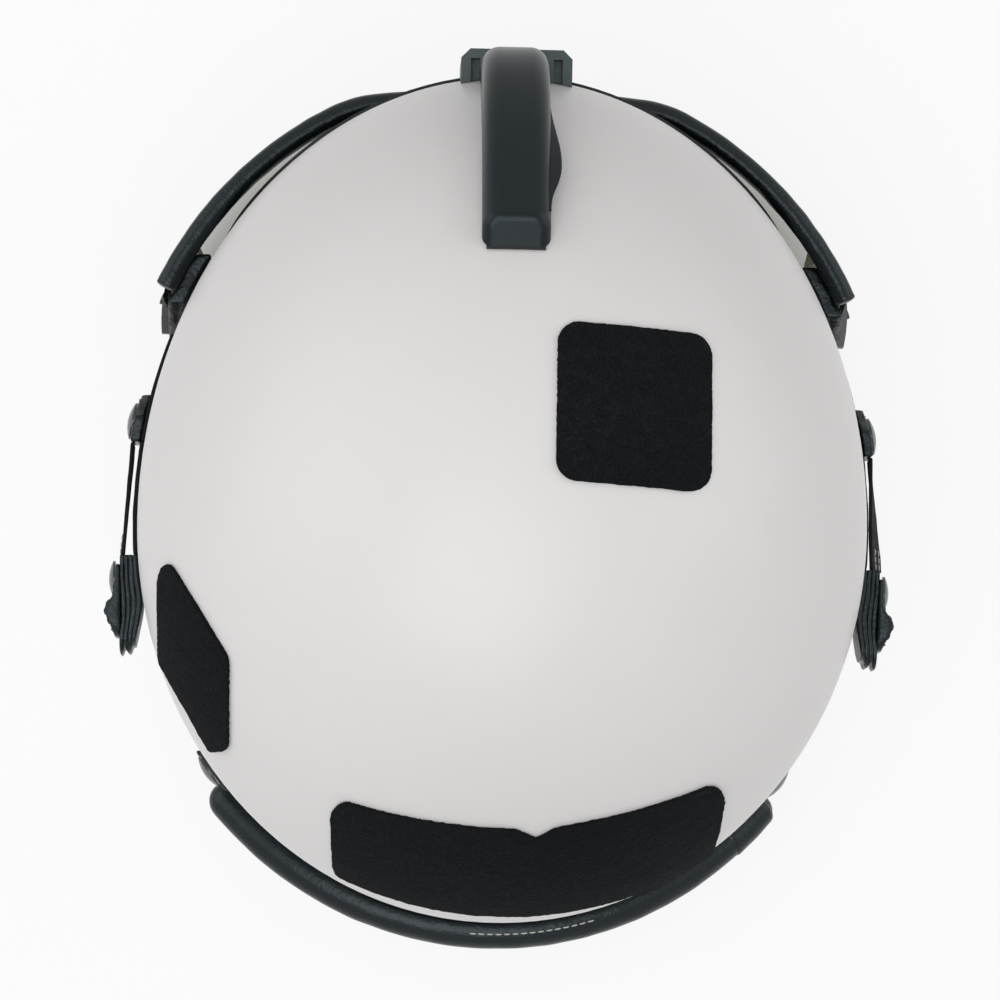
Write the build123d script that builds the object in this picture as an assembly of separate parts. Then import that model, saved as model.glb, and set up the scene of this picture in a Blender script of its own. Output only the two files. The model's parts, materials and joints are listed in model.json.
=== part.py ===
"""Pilot flight helmet: an egg-shaped shell with an elastic-hung visor and a goggle mount on the brow.

The face looks along -Y, +X is the wearer's left and +Z is up. Every piece is drawn about the dome's centre,
which lies on the shell's widest level, and is moved once, at export, so that the helmet stands on Z = 0.
"""

import math
import os

from build123d import *

# Units: millimetres and degrees.

# Outer shell: two half eggs that meet at the widest cross-section.
SHELL_HALF_WIDTH = 121.0
SHELL_FRONT_REACH = 149.5
SHELL_REAR_REACH = 131.0
SHELL_CROWN_HEIGHT = 135.0
SHELL_DEPTH = 97.0
SHELL_THICKNESS = 3.0
SHELL_UNDERCUT = 20.0
DOME_FULLNESS_SHARE = 0.575
WALL_UPPER_SHARE = 0.4
WALL_LOWER_SHARE = 0.7
WALL_LOWER_WIDTH_SHARE = 0.985
WALL_FOOT_WIDTH_SHARE = 0.96

# Rim of the shell, seen from the side: distances ahead of or behind the widest plane, and levels.
BROW_LEVEL = 12.0
TEMPLE_SETBACK = 37.5
TEMPLE_AHEAD = SHELL_FRONT_REACH - TEMPLE_SETBACK
CHEEK_UPPER_SETBACK = 57.5
CHEEK_UPPER_AHEAD = SHELL_FRONT_REACH - CHEEK_UPPER_SETBACK
CHEEK_UPPER_LEVEL = -22.0
CHEEK_LOWER_SETBACK = 73.5
CHEEK_LOWER_AHEAD = SHELL_FRONT_REACH - CHEEK_LOWER_SETBACK
CHEEK_LOWER_LEVEL = -72.0
LOBE_FRONT_SETBACK = 97.5
LOBE_FRONT_AHEAD = SHELL_FRONT_REACH - LOBE_FRONT_SETBACK
LOBE_REAR_INSET = 95.0
LOBE_REAR_BEHIND = SHELL_REAR_REACH - LOBE_REAR_INSET
NAPE_SIDE_INSET = 59.0
NAPE_SIDE_BEHIND = SHELL_REAR_REACH - NAPE_SIDE_INSET
NAPE_SIDE_LEVEL = -82.0
NAPE_REAR_LEVEL = -56.0
RIM_CORNER_RADIUS = 24.0

# Fits and cutting overrun.
BOND_GAP = 0.1
SEAT_GAP = 0.3
SLIDE_GAP = 0.4
OVERRUN = 30.0

# Rim beading.
BEAD_PROUD = 1.0
BEAD_COVER = 5.0
BEAD_UNDER = 3.0
FOOT_FLAT = 0.5

# Roll round the nape.
NAPE_ROLL_RADIUS = 6.8
NAPE_ROLL_STANDOFF = 4.2
NAPE_ROLL_REAR_LEVEL = -58.0
NAPE_ROLL_SLOPE = 21.0
NAPE_ROLL_HALF_ANGLE = 47.0

# Nape tabs and their press studs.
NAPE_TAB_THICKNESS = 1.4
NAPE_TAB_FRONT_INSET = 56.0
NAPE_TAB_FRONT_BEHIND = SHELL_REAR_REACH - NAPE_TAB_FRONT_INSET
NAPE_TAB_REAR_INSET = 43.0
NAPE_TAB_REAR_BEHIND = SHELL_REAR_REACH - NAPE_TAB_REAR_INSET
NAPE_TAB_TOP_LEVEL = -34.0
NAPE_TAB_FOOT_LEVEL = -58.0
NAPE_STUD_INSET = 49.5
NAPE_STUD_BEHIND = SHELL_REAR_REACH - NAPE_STUD_INSET
NAPE_STUD_LEVEL = -46.0

# Press studs: a domed cap on a post.
STUD_CAP_RADIUS = 6.2
STUD_CAP_RISE = 2.2
STUD_RIM = 0.7
STUD_POST_RADIUS = 2.0
STUD_POST_CLEARANCE = 0.1

# Impact liner and comfort pads inside the shell.
LINER_THICKNESS = 12.0
LINER_BROW_LEVEL = 19.0
LINER_TEMPLE_SETBACK = 83.5
LINER_TEMPLE_AHEAD = SHELL_FRONT_REACH - LINER_TEMPLE_SETBACK
LINER_EAR_LEVEL = 22.0
LINER_EAR_BEHIND = 50.0
LINER_NAPE_INSET = 53.0
LINER_NAPE_BEHIND = SHELL_REAR_REACH - LINER_NAPE_INSET
LINER_NAPE_LEVEL = -40.0
PAD_THICKNESS = 7.0
PAD_CORNER_RADIUS = 12.0
CROWN_PAD_LENGTH = 118.0
CROWN_PAD_WIDTH = 96.0
BROW_PAD_WIDTH = 120.0
BROW_PAD_FOOT_LEVEL = 23.0
BROW_PAD_TOP_LEVEL = 62.0
REAR_PAD_WIDTH = 104.0
REAR_PAD_FOOT_LEVEL = -34.0
REAR_PAD_TOP_LEVEL = 44.0

# Hook-and-loop patches.
PATCH_THICKNESS = 1.2
PATCH_CORNER_RADIUS = 7.0
CROWN_PATCH_INNER = 13.0
CROWN_PATCH_OUTER = 62.1
CROWN_PATCH_FRONT_AHEAD = 57.2
CROWN_PATCH_REAR_AHEAD = 4.3
CROWN_PATCH_SKEW = 2.2
SIDE_PATCH_BEND_RADIUS = 10.0
SIDE_PATCH_TIP_RADIUS = 2.2
SIDE_PATCH_TOP_INSET = 12.0
SIDE_PATCH_TOP_SIDE = SHELL_HALF_WIDTH - SIDE_PATCH_TOP_INSET
SIDE_PATCH_TOP_BEHIND = 15.0
SIDE_PATCH_INNER_INSET = 33.3
SIDE_PATCH_INNER_SIDE = SHELL_HALF_WIDTH - SIDE_PATCH_INNER_INSET
SIDE_PATCH_INNER_BEHIND = 48.5
SIDE_PATCH_FOOT_INSET = 27.0
SIDE_PATCH_FOOT_SIDE = SHELL_HALF_WIDTH - SIDE_PATCH_FOOT_INSET
SIDE_PATCH_FOOT_BEHIND = 77.0
SIDE_PATCH_OUTER_INSET = 9.4
SIDE_PATCH_OUTER_SIDE = SHELL_HALF_WIDTH - SIDE_PATCH_OUTER_INSET
SIDE_PATCH_OUTER_BEHIND = 47.5
SIDE_PATCH_UPPER_BEHIND = 22.0
REAR_PATCH_OFFSET = 8.6
REAR_PATCH_LEAN_SHARE = 0.067
REAR_PATCH_CORNER_RADIUS = 5.0
REAR_PATCH_HALF_WIDTH = 63.6
REAR_PATCH_END_TAPER = 1.5
REAR_PATCH_END_INSET = 43.9
REAR_PATCH_END_BEHIND = SHELL_REAR_REACH - REAR_PATCH_END_INSET
REAR_PATCH_END_LENGTH = 24.0
REAR_PATCH_MIDDLE_INSET = 34.2
REAR_PATCH_MIDDLE_BEHIND = SHELL_REAR_REACH - REAR_PATCH_MIDDLE_INSET
REAR_PATCH_NOTCH_INSET = 30.4
REAR_PATCH_NOTCH_BEHIND = SHELL_REAR_REACH - REAR_PATCH_NOTCH_INSET
REAR_PATCH_NOTCH_DEPTH = 3.0
REAR_PATCH_NOTCH_HALF_WIDTH = 6.5
REAR_PATCH_NOTCH_OFFSET = 2.1
REAR_PATCH_LIP_RADIUS = 6.0
REAR_PATCH_FOOT_INSET = 3.2
REAR_PATCH_FOOT_BEHIND = SHELL_REAR_REACH - REAR_PATCH_FOOT_INSET

# Goggle mount: spine, gasket, shoe and their screws.
GASKET_THICKNESS = 0.8
SPINE_WIDTH = 21.8
SPINE_NOSE_PROUD = 4.0
SPINE_NOSE_AHEAD = SHELL_FRONT_REACH + SPINE_NOSE_PROUD
SPINE_NOSE_LEVEL = 34.0
SPINE_NOSE_TOP_LEVEL = 50.0
SPINE_REAR_SETBACK = 69.2
SPINE_REAR_AHEAD = SHELL_FRONT_REACH - SPINE_REAR_SETBACK
SPINE_CREASE_SETBACK = 59.0
SPINE_CREASE_AHEAD = SHELL_FRONT_REACH - SPINE_CREASE_SETBACK
SPINE_STANDOFF = 11.0
SPINE_EDGE_RADIUS = 3.6
SPINE_NOSE_RADIUS = 6.0
SPINE_REAR_RADIUS = 3.0
SHOE_WIDTH = 36.6
SHOE_OFFSET = 1.2
SHOE_FRONT_PROUD = 6.1
SHOE_FRONT_AHEAD = SHELL_FRONT_REACH + SHOE_FRONT_PROUD
SHOE_TOP_LEVEL = 33.6
SHOE_FOOT_LEVEL = 7.5
SHOE_BACK_SETBACK = 11.5
SHOE_BACK_AHEAD = SHELL_FRONT_REACH - SHOE_BACK_SETBACK
SHOE_CHAMFER = 3.0
SHOE_SOCKET_WIDTH = 18.0
SHOE_SOCKET_DEPTH = 3.4
SHOE_SOCKET_TOP_LEVEL = 28.0
SHOE_LIP = 1.6
SHOE_LIP_DEPTH = 1.2
SHOE_POCKET_WIDTH = 3.0
SHOE_POCKET_DEPTH = 9.0
SHOE_WALL = 3.2
MOUNT_SCREW_RADIUS = 1.9
MOUNT_SCREW_HEAD_RADIUS = 3.6
MOUNT_SCREW_HEAD_HEIGHT = 1.4
MOUNT_SCREW_BITE = 5.0
MOUNT_SCREW_FIRST_SETBACK = 37.5
MOUNT_SCREW_FIRST_AHEAD = SHELL_FRONT_REACH - MOUNT_SCREW_FIRST_SETBACK
MOUNT_SCREW_SECOND_SETBACK = 12.5
MOUNT_SCREW_SECOND_AHEAD = SHELL_FRONT_REACH - MOUNT_SCREW_SECOND_SETBACK

# Release button, its spring and the pawl that it draws back.
BUTTON_FRONT_SETBACK = 13.0
BUTTON_FRONT_AHEAD = SHELL_FRONT_REACH - BUTTON_FRONT_SETBACK
BUTTON_PEAK_SETBACK = 40.0
BUTTON_PEAK_AHEAD = SHELL_FRONT_REACH - BUTTON_PEAK_SETBACK
BUTTON_REAR_SETBACK = 56.5
BUTTON_REAR_AHEAD = SHELL_FRONT_REACH - BUTTON_REAR_SETBACK
BUTTON_PROUD = 3.4
BUTTON_INBOARD = 5.0
BUTTON_LOW_STANDOFF = 1.7
BUTTON_HIGH_STANDOFF = 6.6
BUTTON_TRAVEL = 2.0
SPRING_LENGTH = 3.2
SPRING_RADIUS = 1.5
SPRING_WIRE_RADIUS = 0.3
PAWL_LENGTH = 6.0
PAWL_THICKNESS = 2.0
PAWL_HEIGHT = 6.0
PAWL_NOSE = 1.5
PAWL_LEVEL = 20.0
PAWL_BEHIND_FACE = 1.6

# Visor: the lens in plan is five tangent arcs, drawn at the lens's mid surface at its top edge.
LENS_CENTRE_SETBACK = 123.1
LENS_CENTRE_AHEAD = SHELL_FRONT_REACH - LENS_CENTRE_SETBACK
LENS_SIDE_PROUD = 2.9
LENS_SIDE_RADIUS = SHELL_HALF_WIDTH + LENS_SIDE_PROUD
LENS_CORNER_RADIUS = 40.0
LENS_FRONT_ANGLE = 6.0
LENS_CORNER_ANGLE = 28.0
LENS_REAR_ANGLE = 100.0
LENS_THICKNESS = 2.2
LENS_TOP_LEVEL = 0.0
LENS_MIDDLE_LEVEL = -40.0
LENS_FOOT_LEVEL = -84.0
LENS_MIDDLE_WIDTH_SHARE = 0.965
LENS_FOOT_WIDTH_SHARE = 0.885
LENS_REAR_TOP_SETBACK = 72.0
LENS_REAR_TOP_AHEAD = SHELL_FRONT_REACH - LENS_REAR_TOP_SETBACK
LENS_REAR_FOOT_SETBACK = 85.5
LENS_REAR_FOOT_AHEAD = SHELL_FRONT_REACH - LENS_REAR_FOOT_SETBACK
LENS_REAR_FOOT_LEVEL = -36.0
LENS_CHEEK_SETBACK = 51.5
LENS_CHEEK_AHEAD = SHELL_FRONT_REACH - LENS_CHEEK_SETBACK
LENS_CHEEK_LEVEL = -66.0
LENS_EDGE_RADIUS = 8.0
NOSE_HALF_WIDTH = 20.0
NOSE_RISE = 24.0
NOSE_TOP_RADIUS = 9.0
ROLL_RADIUS = 4.3

# Pads at the lens's rear ends, their rivets and the side straps.
SIDE_PAD_FRONT_SETBACK = 59.5
SIDE_PAD_FRONT_AHEAD = SHELL_FRONT_REACH - SIDE_PAD_FRONT_SETBACK
SIDE_PAD_TOP_LEVEL = -5.0
RIVET_RADIUS = 2.4
RIVET_RISE = 1.0
RIVET_SETBACK = 74.0
RIVET_AHEAD = SHELL_FRONT_REACH - RIVET_SETBACK
RIVET_LEVEL = -14.0
STRAP_THICKNESS = 1.6
STRAP_TOP_LEVEL = -9.0
STRAP_FOOT_LEVEL = -29.0
STRAP_LAP_SETBACK = 86.0
STRAP_LAP_AHEAD = SHELL_FRONT_REACH - STRAP_LAP_SETBACK
FRONT_TAB_FRONT_SETBACK = 105.5
FRONT_TAB_FRONT_AHEAD = SHELL_FRONT_REACH - FRONT_TAB_FRONT_SETBACK
FRONT_TAB_REAR_SETBACK = 122.5
FRONT_TAB_REAR_AHEAD = SHELL_FRONT_REACH - FRONT_TAB_REAR_SETBACK
FRONT_TAB_THICKNESS = 3.4
FRONT_STUD_SETBACK = 115.0
FRONT_STUD_AHEAD = SHELL_FRONT_REACH - FRONT_STUD_SETBACK
STUD_LEVEL = -19.0
ELASTIC_THICKNESS = 1.3
ELASTIC_HEIGHT = 16.0
TAB_LAYER_THICKNESS = 1.3
TAB_LAYER_COUNT = 4
TAB_LAYER_GAP = 0.1
TAB_LAYER_HEIGHT = 23.0
TAB_LAYER_LENGTH = 33.0
TAB_LAYER_STEP = 1.0
TAB_END_RADIUS = 6.0
REAR_TAB_FRONT_BEHIND = 11.0
REAR_TAB_INNER_SIDE = SHELL_HALF_WIDTH + SLIDE_GAP
REAR_TAB_LEAN = 1.5
REAR_STUD_BEHIND = 18.5
PULL_TAB_LENGTH = 24.0

# Earcups.
EAR_BEHIND = 2.0
EAR_LEVEL = -34.0
CUP_HALF_LENGTH = 36.0
CUP_HALF_HEIGHT = 46.0
CUP_SIDE_INSET = 12.0
CUP_OUTER_SIDE = SHELL_HALF_WIDTH - CUP_SIDE_INSET
CUP_DEPTH = 21.0
CUP_MOUTH_SIDE = CUP_OUTER_SIDE - CUP_DEPTH
CUP_WALL = 2.5
CUP_EDGE_RADIUS = 7.0
SEAL_THICKNESS = 15.0
SEAL_WIDTH = 14.0
SEAL_EDGE_RADIUS = 5.0
SPEAKER_RADIUS = 20.0
SPEAKER_THICKNESS = 7.0
CUP_FOAM_THICKNESS = 4.0
SPACER_RADIUS = 20.0
SPACER_BORE = 9.0

# Chin strap, chin pad and nape pad.
CHIN_STRAP_THICKNESS = 1.8
CHIN_STRAP_HEIGHT = 17.0
CHIN_STRAP_FOOT_LEVEL = -95.0
CHIN_STRAP_INSET = 25.0
CHIN_STRAP_HALF_WIDTH = SHELL_HALF_WIDTH - CHIN_STRAP_INSET
CHIN_STRAP_ANCHOR_SETBACK = 109.5
CHIN_STRAP_ANCHOR_AHEAD = SHELL_FRONT_REACH - CHIN_STRAP_ANCHOR_SETBACK
CHIN_STRAP_REACH = 62.0
CHIN_PAD_HALF_WIDTH = 38.0
CHIN_PAD_THICKNESS = 8.0
CHIN_PAD_OVERHANG = 1.5
CHIN_ANCHOR_RADIUS = 6.0
NAPE_PAD_HALF_WIDTH = 50.0
NAPE_PAD_THICKNESS = 11.0
NAPE_PAD_TOP_LEVEL = -44.0
NAPE_PAD_FOOT_LEVEL = -74.0

# Where the drawing origin stands in the row frame.
STAND_HEIGHT = SHELL_DEPTH + BEAD_UNDER - FOOT_FLAT
WIDE = 2 * SHELL_HALF_WIDTH + OVERRUN
LONG = SHELL_FRONT_REACH + SHELL_REAR_REACH


def egg(inset):
    """The closed egg whose skin lies inset below the shell's outer skin."""
    side = SHELL_HALF_WIDTH - inset
    crown = SHELL_CROWN_HEIGHT - inset
    foot = SHELL_DEPTH + SHELL_UNDERCUT
    lower = side * WALL_LOWER_WIDTH_SHARE
    foot_side = side * WALL_FOOT_WIDTH_SHARE
    round_share = DOME_FULLNESS_SHARE
    dome = Bezier((0, 0, crown), (round_share * side, 0, crown), (side, 0, round_share * crown), (side, 0, 0))
    wall = Bezier(
        (side, 0, 0), (side, 0, -WALL_UPPER_SHARE * foot), (lower, 0, -WALL_LOWER_SHARE * foot), (foot_side, 0, -foot)
    )
    base = Line((foot_side, 0, -foot), (0, 0, -foot))
    axis = Line((0, 0, -foot), (0, 0, crown))
    section = make_face([dome, wall, base, axis])
    front = scale(revolve(section, Axis.Z, -180), by=(1, (SHELL_FRONT_REACH - inset) / side, 1))
    rear = scale(revolve(section, Axis.Z, 180), by=(1, (SHELL_REAR_REACH - inset) / side, 1))
    return front + rear


def layer(low, high):
    """A skin that lies from low to high outside the shell's outer skin; negative values are inside it."""
    return egg(-high) - egg(-low)


def shell_side(y, inset=0.0, level=0.0):
    """Half the shell's width at y, at the widest level or a little below it."""
    reach = (SHELL_FRONT_REACH if y < 0 else SHELL_REAR_REACH) - inset
    drop = WALL_FOOT_WIDTH_SHARE + (1 - WALL_FOOT_WIDTH_SHARE) * (1 - (level / SHELL_DEPTH) ** 2)
    return (SHELL_HALF_WIDTH - inset) * drop * math.sqrt(1 - (y / reach) ** 2)


def block(low, high):
    """A box between two corners."""
    size = [b - a for a, b in zip(low, high)]
    middle = [(a + b) / 2 for a, b in zip(low, high)]
    return Pos(*middle) * Box(*size)


def side_prism(outline, radius=0.0, corners=()):
    """A prism through X whose outline is given as (y, z); the corners listed are rounded."""
    return Plane.YZ * extrude(rounded(outline, radius, corners), WIDE, both=True)


def top_prism(outline, radius=0.0, corners=()):
    """A prism through Z whose outline is given as (x, y)."""
    return extrude(rounded(outline, radius, corners), WIDE, both=True)


def rounded(outline, radius, corners):
    face = make_face(Polyline(*outline, close=True))
    if radius and len(corners):
        chosen = [face.vertices().sort_by_distance((*outline[n], 0))[0] for n in corners]
        face = fillet(chosen, radius)
    return face


def mirrored(solid):
    return mirror(solid, Plane.YZ)


def rim_outline(grow=0.0):
    """Everything that the shell lacks, seen from the side as (y, z); grow widens it."""
    far = SHELL_FRONT_REACH + OVERRUN
    rear = SHELL_REAR_REACH + OVERRUN
    rear_slope = (NAPE_REAR_LEVEL - NAPE_SIDE_LEVEL) / (SHELL_REAR_REACH - NAPE_SIDE_BEHIND)
    corners = [
        (-far, BROW_LEVEL),
        (-TEMPLE_AHEAD, BROW_LEVEL),
        (-CHEEK_UPPER_AHEAD, CHEEK_UPPER_LEVEL),
        (-CHEEK_LOWER_AHEAD, CHEEK_LOWER_LEVEL),
        (-LOBE_FRONT_AHEAD, -SHELL_DEPTH),
        (LOBE_REAR_BEHIND, -SHELL_DEPTH),
        (NAPE_SIDE_BEHIND, NAPE_SIDE_LEVEL),
        (rear, NAPE_REAR_LEVEL + rear_slope * OVERRUN),
        (rear, -SHELL_DEPTH - LONG),
        (-far, -SHELL_DEPTH - LONG),
    ]
    face = rounded(corners, RIM_CORNER_RADIUS, (1, 2, 3, 4, 5, 6))
    return offset(face, grow) if grow else face


def rim_prism(grow=0.0):
    return Plane.YZ * extrude(rim_outline(grow), WIDE, both=True)


def make_shell():
    return egg(0.0) - egg(SHELL_THICKNESS) - rim_prism()


def make_bead(shell, roll):
    """Beading that wraps the rim inside and out; its foot is flat where the helmet stands."""
    wrap = layer(-SHELL_THICKNESS - BEAD_PROUD, BEAD_PROUD)
    band = wrap & (rim_prism(BEAD_COVER) - rim_prism(-BEAD_UNDER))
    floor_cut = block(
        (-WIDE, -LONG, -SHELL_DEPTH - OVERRUN), (WIDE, LONG, -SHELL_DEPTH - BEAD_UNDER + FOOT_FLAT)
    )
    return band - shell - roll - floor_cut


def make_nape_roll():
    """A stuffed roll on the outside of the nape, with rounded ends."""
    side = SHELL_HALF_WIDTH * WALL_LOWER_WIDTH_SHARE + NAPE_ROLL_STANDOFF
    slope = math.radians(NAPE_ROLL_SLOPE)
    rear = SHELL_REAR_REACH * WALL_LOWER_WIDTH_SHARE + NAPE_ROLL_STANDOFF
    start = 90 - NAPE_ROLL_HALF_ANGLE
    section = Plane.XZ * (Pos(side, 0) * Circle(NAPE_ROLL_RADIUS))
    ring = Rot(0, 0, start) * revolve(section, Axis.Z, 2 * NAPE_ROLL_HALF_ANGLE)
    for angle, turn in ((start, -90), (180 - start, 90)):
        ring += Rot(0, 0, angle) * Pos(side, 0, 0) * Rot(turn, 0, 0) * Sphere(NAPE_ROLL_RADIUS, 0, 90)
    ring = scale(ring, by=(1, rear / math.cos(slope) / side, 1))
    ring = Pos(0, 0, NAPE_ROLL_REAR_LEVEL - rear * math.tan(slope)) * Rot(NAPE_ROLL_SLOPE, 0, 0) * ring
    return ring - egg(-BOND_GAP)


def stud(post_length):
    """A press stud that stands on the XY plane: a domed cap on a rim, and a post below it."""
    dome_radius = (STUD_CAP_RADIUS**2 + (STUD_CAP_RISE - STUD_RIM) ** 2) / (2 * (STUD_CAP_RISE - STUD_RIM))
    ball = Pos(0, 0, STUD_CAP_RISE - dome_radius) * Sphere(dome_radius)
    cap = ball & Pos(0, 0, STUD_CAP_RISE / 2) * Cylinder(STUD_CAP_RADIUS, STUD_CAP_RISE)
    post = Pos(0, 0, -post_length / 2) * Cylinder(STUD_POST_RADIUS, post_length)
    return cap + post


def post_hole(post_length):
    return Pos(0, 0, -post_length / 2) * Cylinder(
        STUD_POST_RADIUS + STUD_POST_CLEARANCE, post_length + 2 * STUD_CAP_RISE
    )


def outward(x, y, z):
    """A frame on the shell's side at a place, whose Z axis points straight away from the wall in plan."""
    reach = SHELL_FRONT_REACH if y < 0 else SHELL_REAR_REACH
    normal = Vector(x / SHELL_HALF_WIDTH**2, y / reach**2, 0).normalized()
    return Plane((x, y, z), z_dir=normal, x_dir=(0, 0, 1))


def make_nape_tabs():
    """The left nape tab and its press stud."""
    level = NAPE_STUD_LEVEL
    outline = [
        (NAPE_TAB_FRONT_BEHIND, NAPE_TAB_TOP_LEVEL),
        (NAPE_TAB_REAR_BEHIND, NAPE_TAB_TOP_LEVEL),
        (NAPE_TAB_REAR_BEHIND, NAPE_TAB_FOOT_LEVEL),
        (NAPE_TAB_FRONT_BEHIND, NAPE_TAB_FOOT_LEVEL),
    ]
    tab = layer(BOND_GAP, BOND_GAP + NAPE_TAB_THICKNESS) & side_prism(outline)
    tab &= block((0, 0, -SHELL_DEPTH), (WIDE, LONG, SHELL_CROWN_HEIGHT))
    lift = BOND_GAP + NAPE_TAB_THICKNESS + SEAT_GAP
    seat = outward(shell_side(NAPE_STUD_BEHIND, -lift, level), NAPE_STUD_BEHIND, level)
    place = Location(seat)
    post = NAPE_TAB_THICKNESS / 2 + SEAT_GAP
    return tab - place * post_hole(post), place * stud(post)


def make_liner():
    far = SHELL_FRONT_REACH + OVERRUN
    rear = SHELL_REAR_REACH + OVERRUN
    outline = [
        (-far, LINER_BROW_LEVEL),
        (-LINER_TEMPLE_AHEAD, LINER_BROW_LEVEL),
        (0, LINER_EAR_LEVEL),
        (LINER_EAR_BEHIND, LINER_EAR_LEVEL),
        (LINER_NAPE_BEHIND, LINER_NAPE_LEVEL),
        (rear, LINER_NAPE_LEVEL),
        (rear, -LONG),
        (-far, -LONG),
    ]
    low = SHELL_THICKNESS + SEAT_GAP + LINER_THICKNESS
    return layer(-low, -SHELL_THICKNESS - SEAT_GAP) - side_prism(outline, RIM_CORNER_RADIUS, (3, 4))


def pad_layer():
    outer = SHELL_THICKNESS + SEAT_GAP + LINER_THICKNESS + SEAT_GAP
    return layer(-outer - PAD_THICKNESS, -outer)


def make_crown_pad(skin):
    half_wide = CROWN_PAD_WIDTH / 2
    half_long = CROWN_PAD_LENGTH / 2
    outline = [(-half_wide, -half_long), (half_wide, -half_long), (half_wide, half_long), (-half_wide, half_long)]
    column = top_prism(outline, PAD_CORNER_RADIUS, (0, 1, 2, 3))
    return skin & column & block((-WIDE, -LONG, 0), (WIDE, LONG, SHELL_CROWN_HEIGHT))


def wall_pad(skin, width, foot, top, ahead):
    """A pad on the front or rear inner wall, with rounded corners seen along Y."""
    half = width / 2
    outline = [(-half, foot), (half, foot), (half, top), (-half, top)]
    window = Plane.XZ * extrude(rounded(outline, PAD_CORNER_RADIUS, (0, 1, 2, 3)), LONG, both=True)
    end = -LONG if ahead else LONG
    half_space = block((-WIDE, min(0, end), -LONG), (WIDE, max(0, end), LONG))
    return skin & window & half_space


def make_patches():
    """The crown, side and rear patches, cut from one skin by upright outlines."""
    skin = layer(BOND_GAP, BOND_GAP + PATCH_THICKNESS) & block((-WIDE, -LONG, 0), (WIDE, LONG, WIDE))
    crown = [
        (-CROWN_PATCH_INNER, -CROWN_PATCH_FRONT_AHEAD),
        (-CROWN_PATCH_OUTER, -CROWN_PATCH_FRONT_AHEAD + CROWN_PATCH_SKEW),
        (-CROWN_PATCH_OUTER, -CROWN_PATCH_REAR_AHEAD),
        (-CROWN_PATCH_INNER, -CROWN_PATCH_REAR_AHEAD - CROWN_PATCH_SKEW),
    ]
    side = [
        (SIDE_PATCH_TOP_SIDE, SIDE_PATCH_TOP_BEHIND),
        (SIDE_PATCH_INNER_SIDE, SIDE_PATCH_INNER_BEHIND),
        (SIDE_PATCH_INNER_SIDE, SIDE_PATCH_FOOT_BEHIND),
        (SIDE_PATCH_FOOT_SIDE, SIDE_PATCH_FOOT_BEHIND),
        (SIDE_PATCH_OUTER_SIDE, SIDE_PATCH_OUTER_BEHIND),
        (SIDE_PATCH_OUTER_SIDE, SIDE_PATCH_UPPER_BEHIND),
    ]
    leaf = rounded(side, SIDE_PATCH_BEND_RADIUS, (1, 4, 5))
    leaf = fillet([leaf.vertices().sort_by_distance((*side[n], 0))[0] for n in (0, 2, 3)], SIDE_PATCH_TIP_RADIUS)
    return (
        skin & top_prism(crown, PATCH_CORNER_RADIUS, (0, 1, 2, 3)),
        skin & extrude(leaf, WIDE, both=True),
        skin & extrude(rear_patch_face(), WIDE, both=True),
    )


def rear_patch_face():
    """The rear patch in plan: a crescent that leans forward on the right, with a notch in its front edge."""

    def spot(along, behind):
        return (along - REAR_PATCH_OFFSET, behind + along * REAR_PATCH_LEAN_SHARE)

    notch = spot(-REAR_PATCH_NOTCH_OFFSET, REAR_PATCH_NOTCH_BEHIND + REAR_PATCH_NOTCH_DEPTH)
    foot = REAR_PATCH_END_BEHIND + REAR_PATCH_END_LENGTH
    ends = []
    lips = []
    edges = []
    for side in (1, -1):
        lip = spot(side * REAR_PATCH_NOTCH_HALF_WIDTH - REAR_PATCH_NOTCH_OFFSET, REAR_PATCH_NOTCH_BEHIND)
        middle = spot(side * REAR_PATCH_HALF_WIDTH / 2, REAR_PATCH_MIDDLE_BEHIND)
        front = spot(side * REAR_PATCH_HALF_WIDTH, REAR_PATCH_END_BEHIND)
        rear = spot(side * (REAR_PATCH_HALF_WIDTH - REAR_PATCH_END_TAPER), foot)
        edges += [Line(notch, lip), ThreePointArc(lip, middle, front), Line(front, rear)]
        ends += [front, rear]
        lips.append(lip)
    edges.append(ThreePointArc(ends[1], spot(0, REAR_PATCH_FOOT_BEHIND), ends[3]))
    face = make_face(edges)
    for places, radius in ((ends, REAR_PATCH_CORNER_RADIUS), (lips, REAR_PATCH_LIP_RADIUS)):
        face = fillet([face.vertices().sort_by_distance((*place, 0))[0] for place in places], radius)
    return face


def button_outline(grow=0.0):
    """The release button in plan: a flat inboard side and a lobe that stands out of the spine's right side."""
    flank = -SPINE_WIDTH / 2
    inner = flank + BUTTON_INBOARD + grow
    peak = flank - BUTTON_PROUD - grow
    front = -BUTTON_FRONT_AHEAD - grow
    rear = -BUTTON_REAR_AHEAD + grow
    middle = -BUTTON_PEAK_AHEAD
    edges = [
        Line((inner, rear), (inner, front)),
        Line((inner, front), (flank, front)),
        Bezier((flank, front), (flank, (front + middle) / 2), (peak, (front + 2 * middle) / 3), (peak, middle)),
        Bezier((peak, middle), (peak, (rear + middle) / 2), (flank, (rear + middle) / 2), (flank, rear)),
        Line((flank, rear), (inner, rear)),
    ]
    return make_face(edges)


def make_button(grow=0.0, reach=0.0):
    """The release button, or with grow and reach the pocket that it slides in."""
    column = extrude(button_outline(grow), SHELL_CROWN_HEIGHT)
    if reach:
        column += Pos(reach, 0, 0) * column
    return column & layer(BUTTON_LOW_STANDOFF - grow, BUTTON_HIGH_STANDOFF + grow)


def brow_frame(ahead):
    """A frame on the shell's skin on the centre line, whose Z axis points away from the shell."""
    level = dome_level(ahead)
    near = dome_level(ahead + SHELL_THICKNESS)
    tangent = Vector(0, -SHELL_THICKNESS, near - level).normalized()
    normal = tangent.cross(Vector(1, 0, 0))
    return Location(Plane((0, -ahead, level), z_dir=normal, x_dir=(1, 0, 0)))


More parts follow.
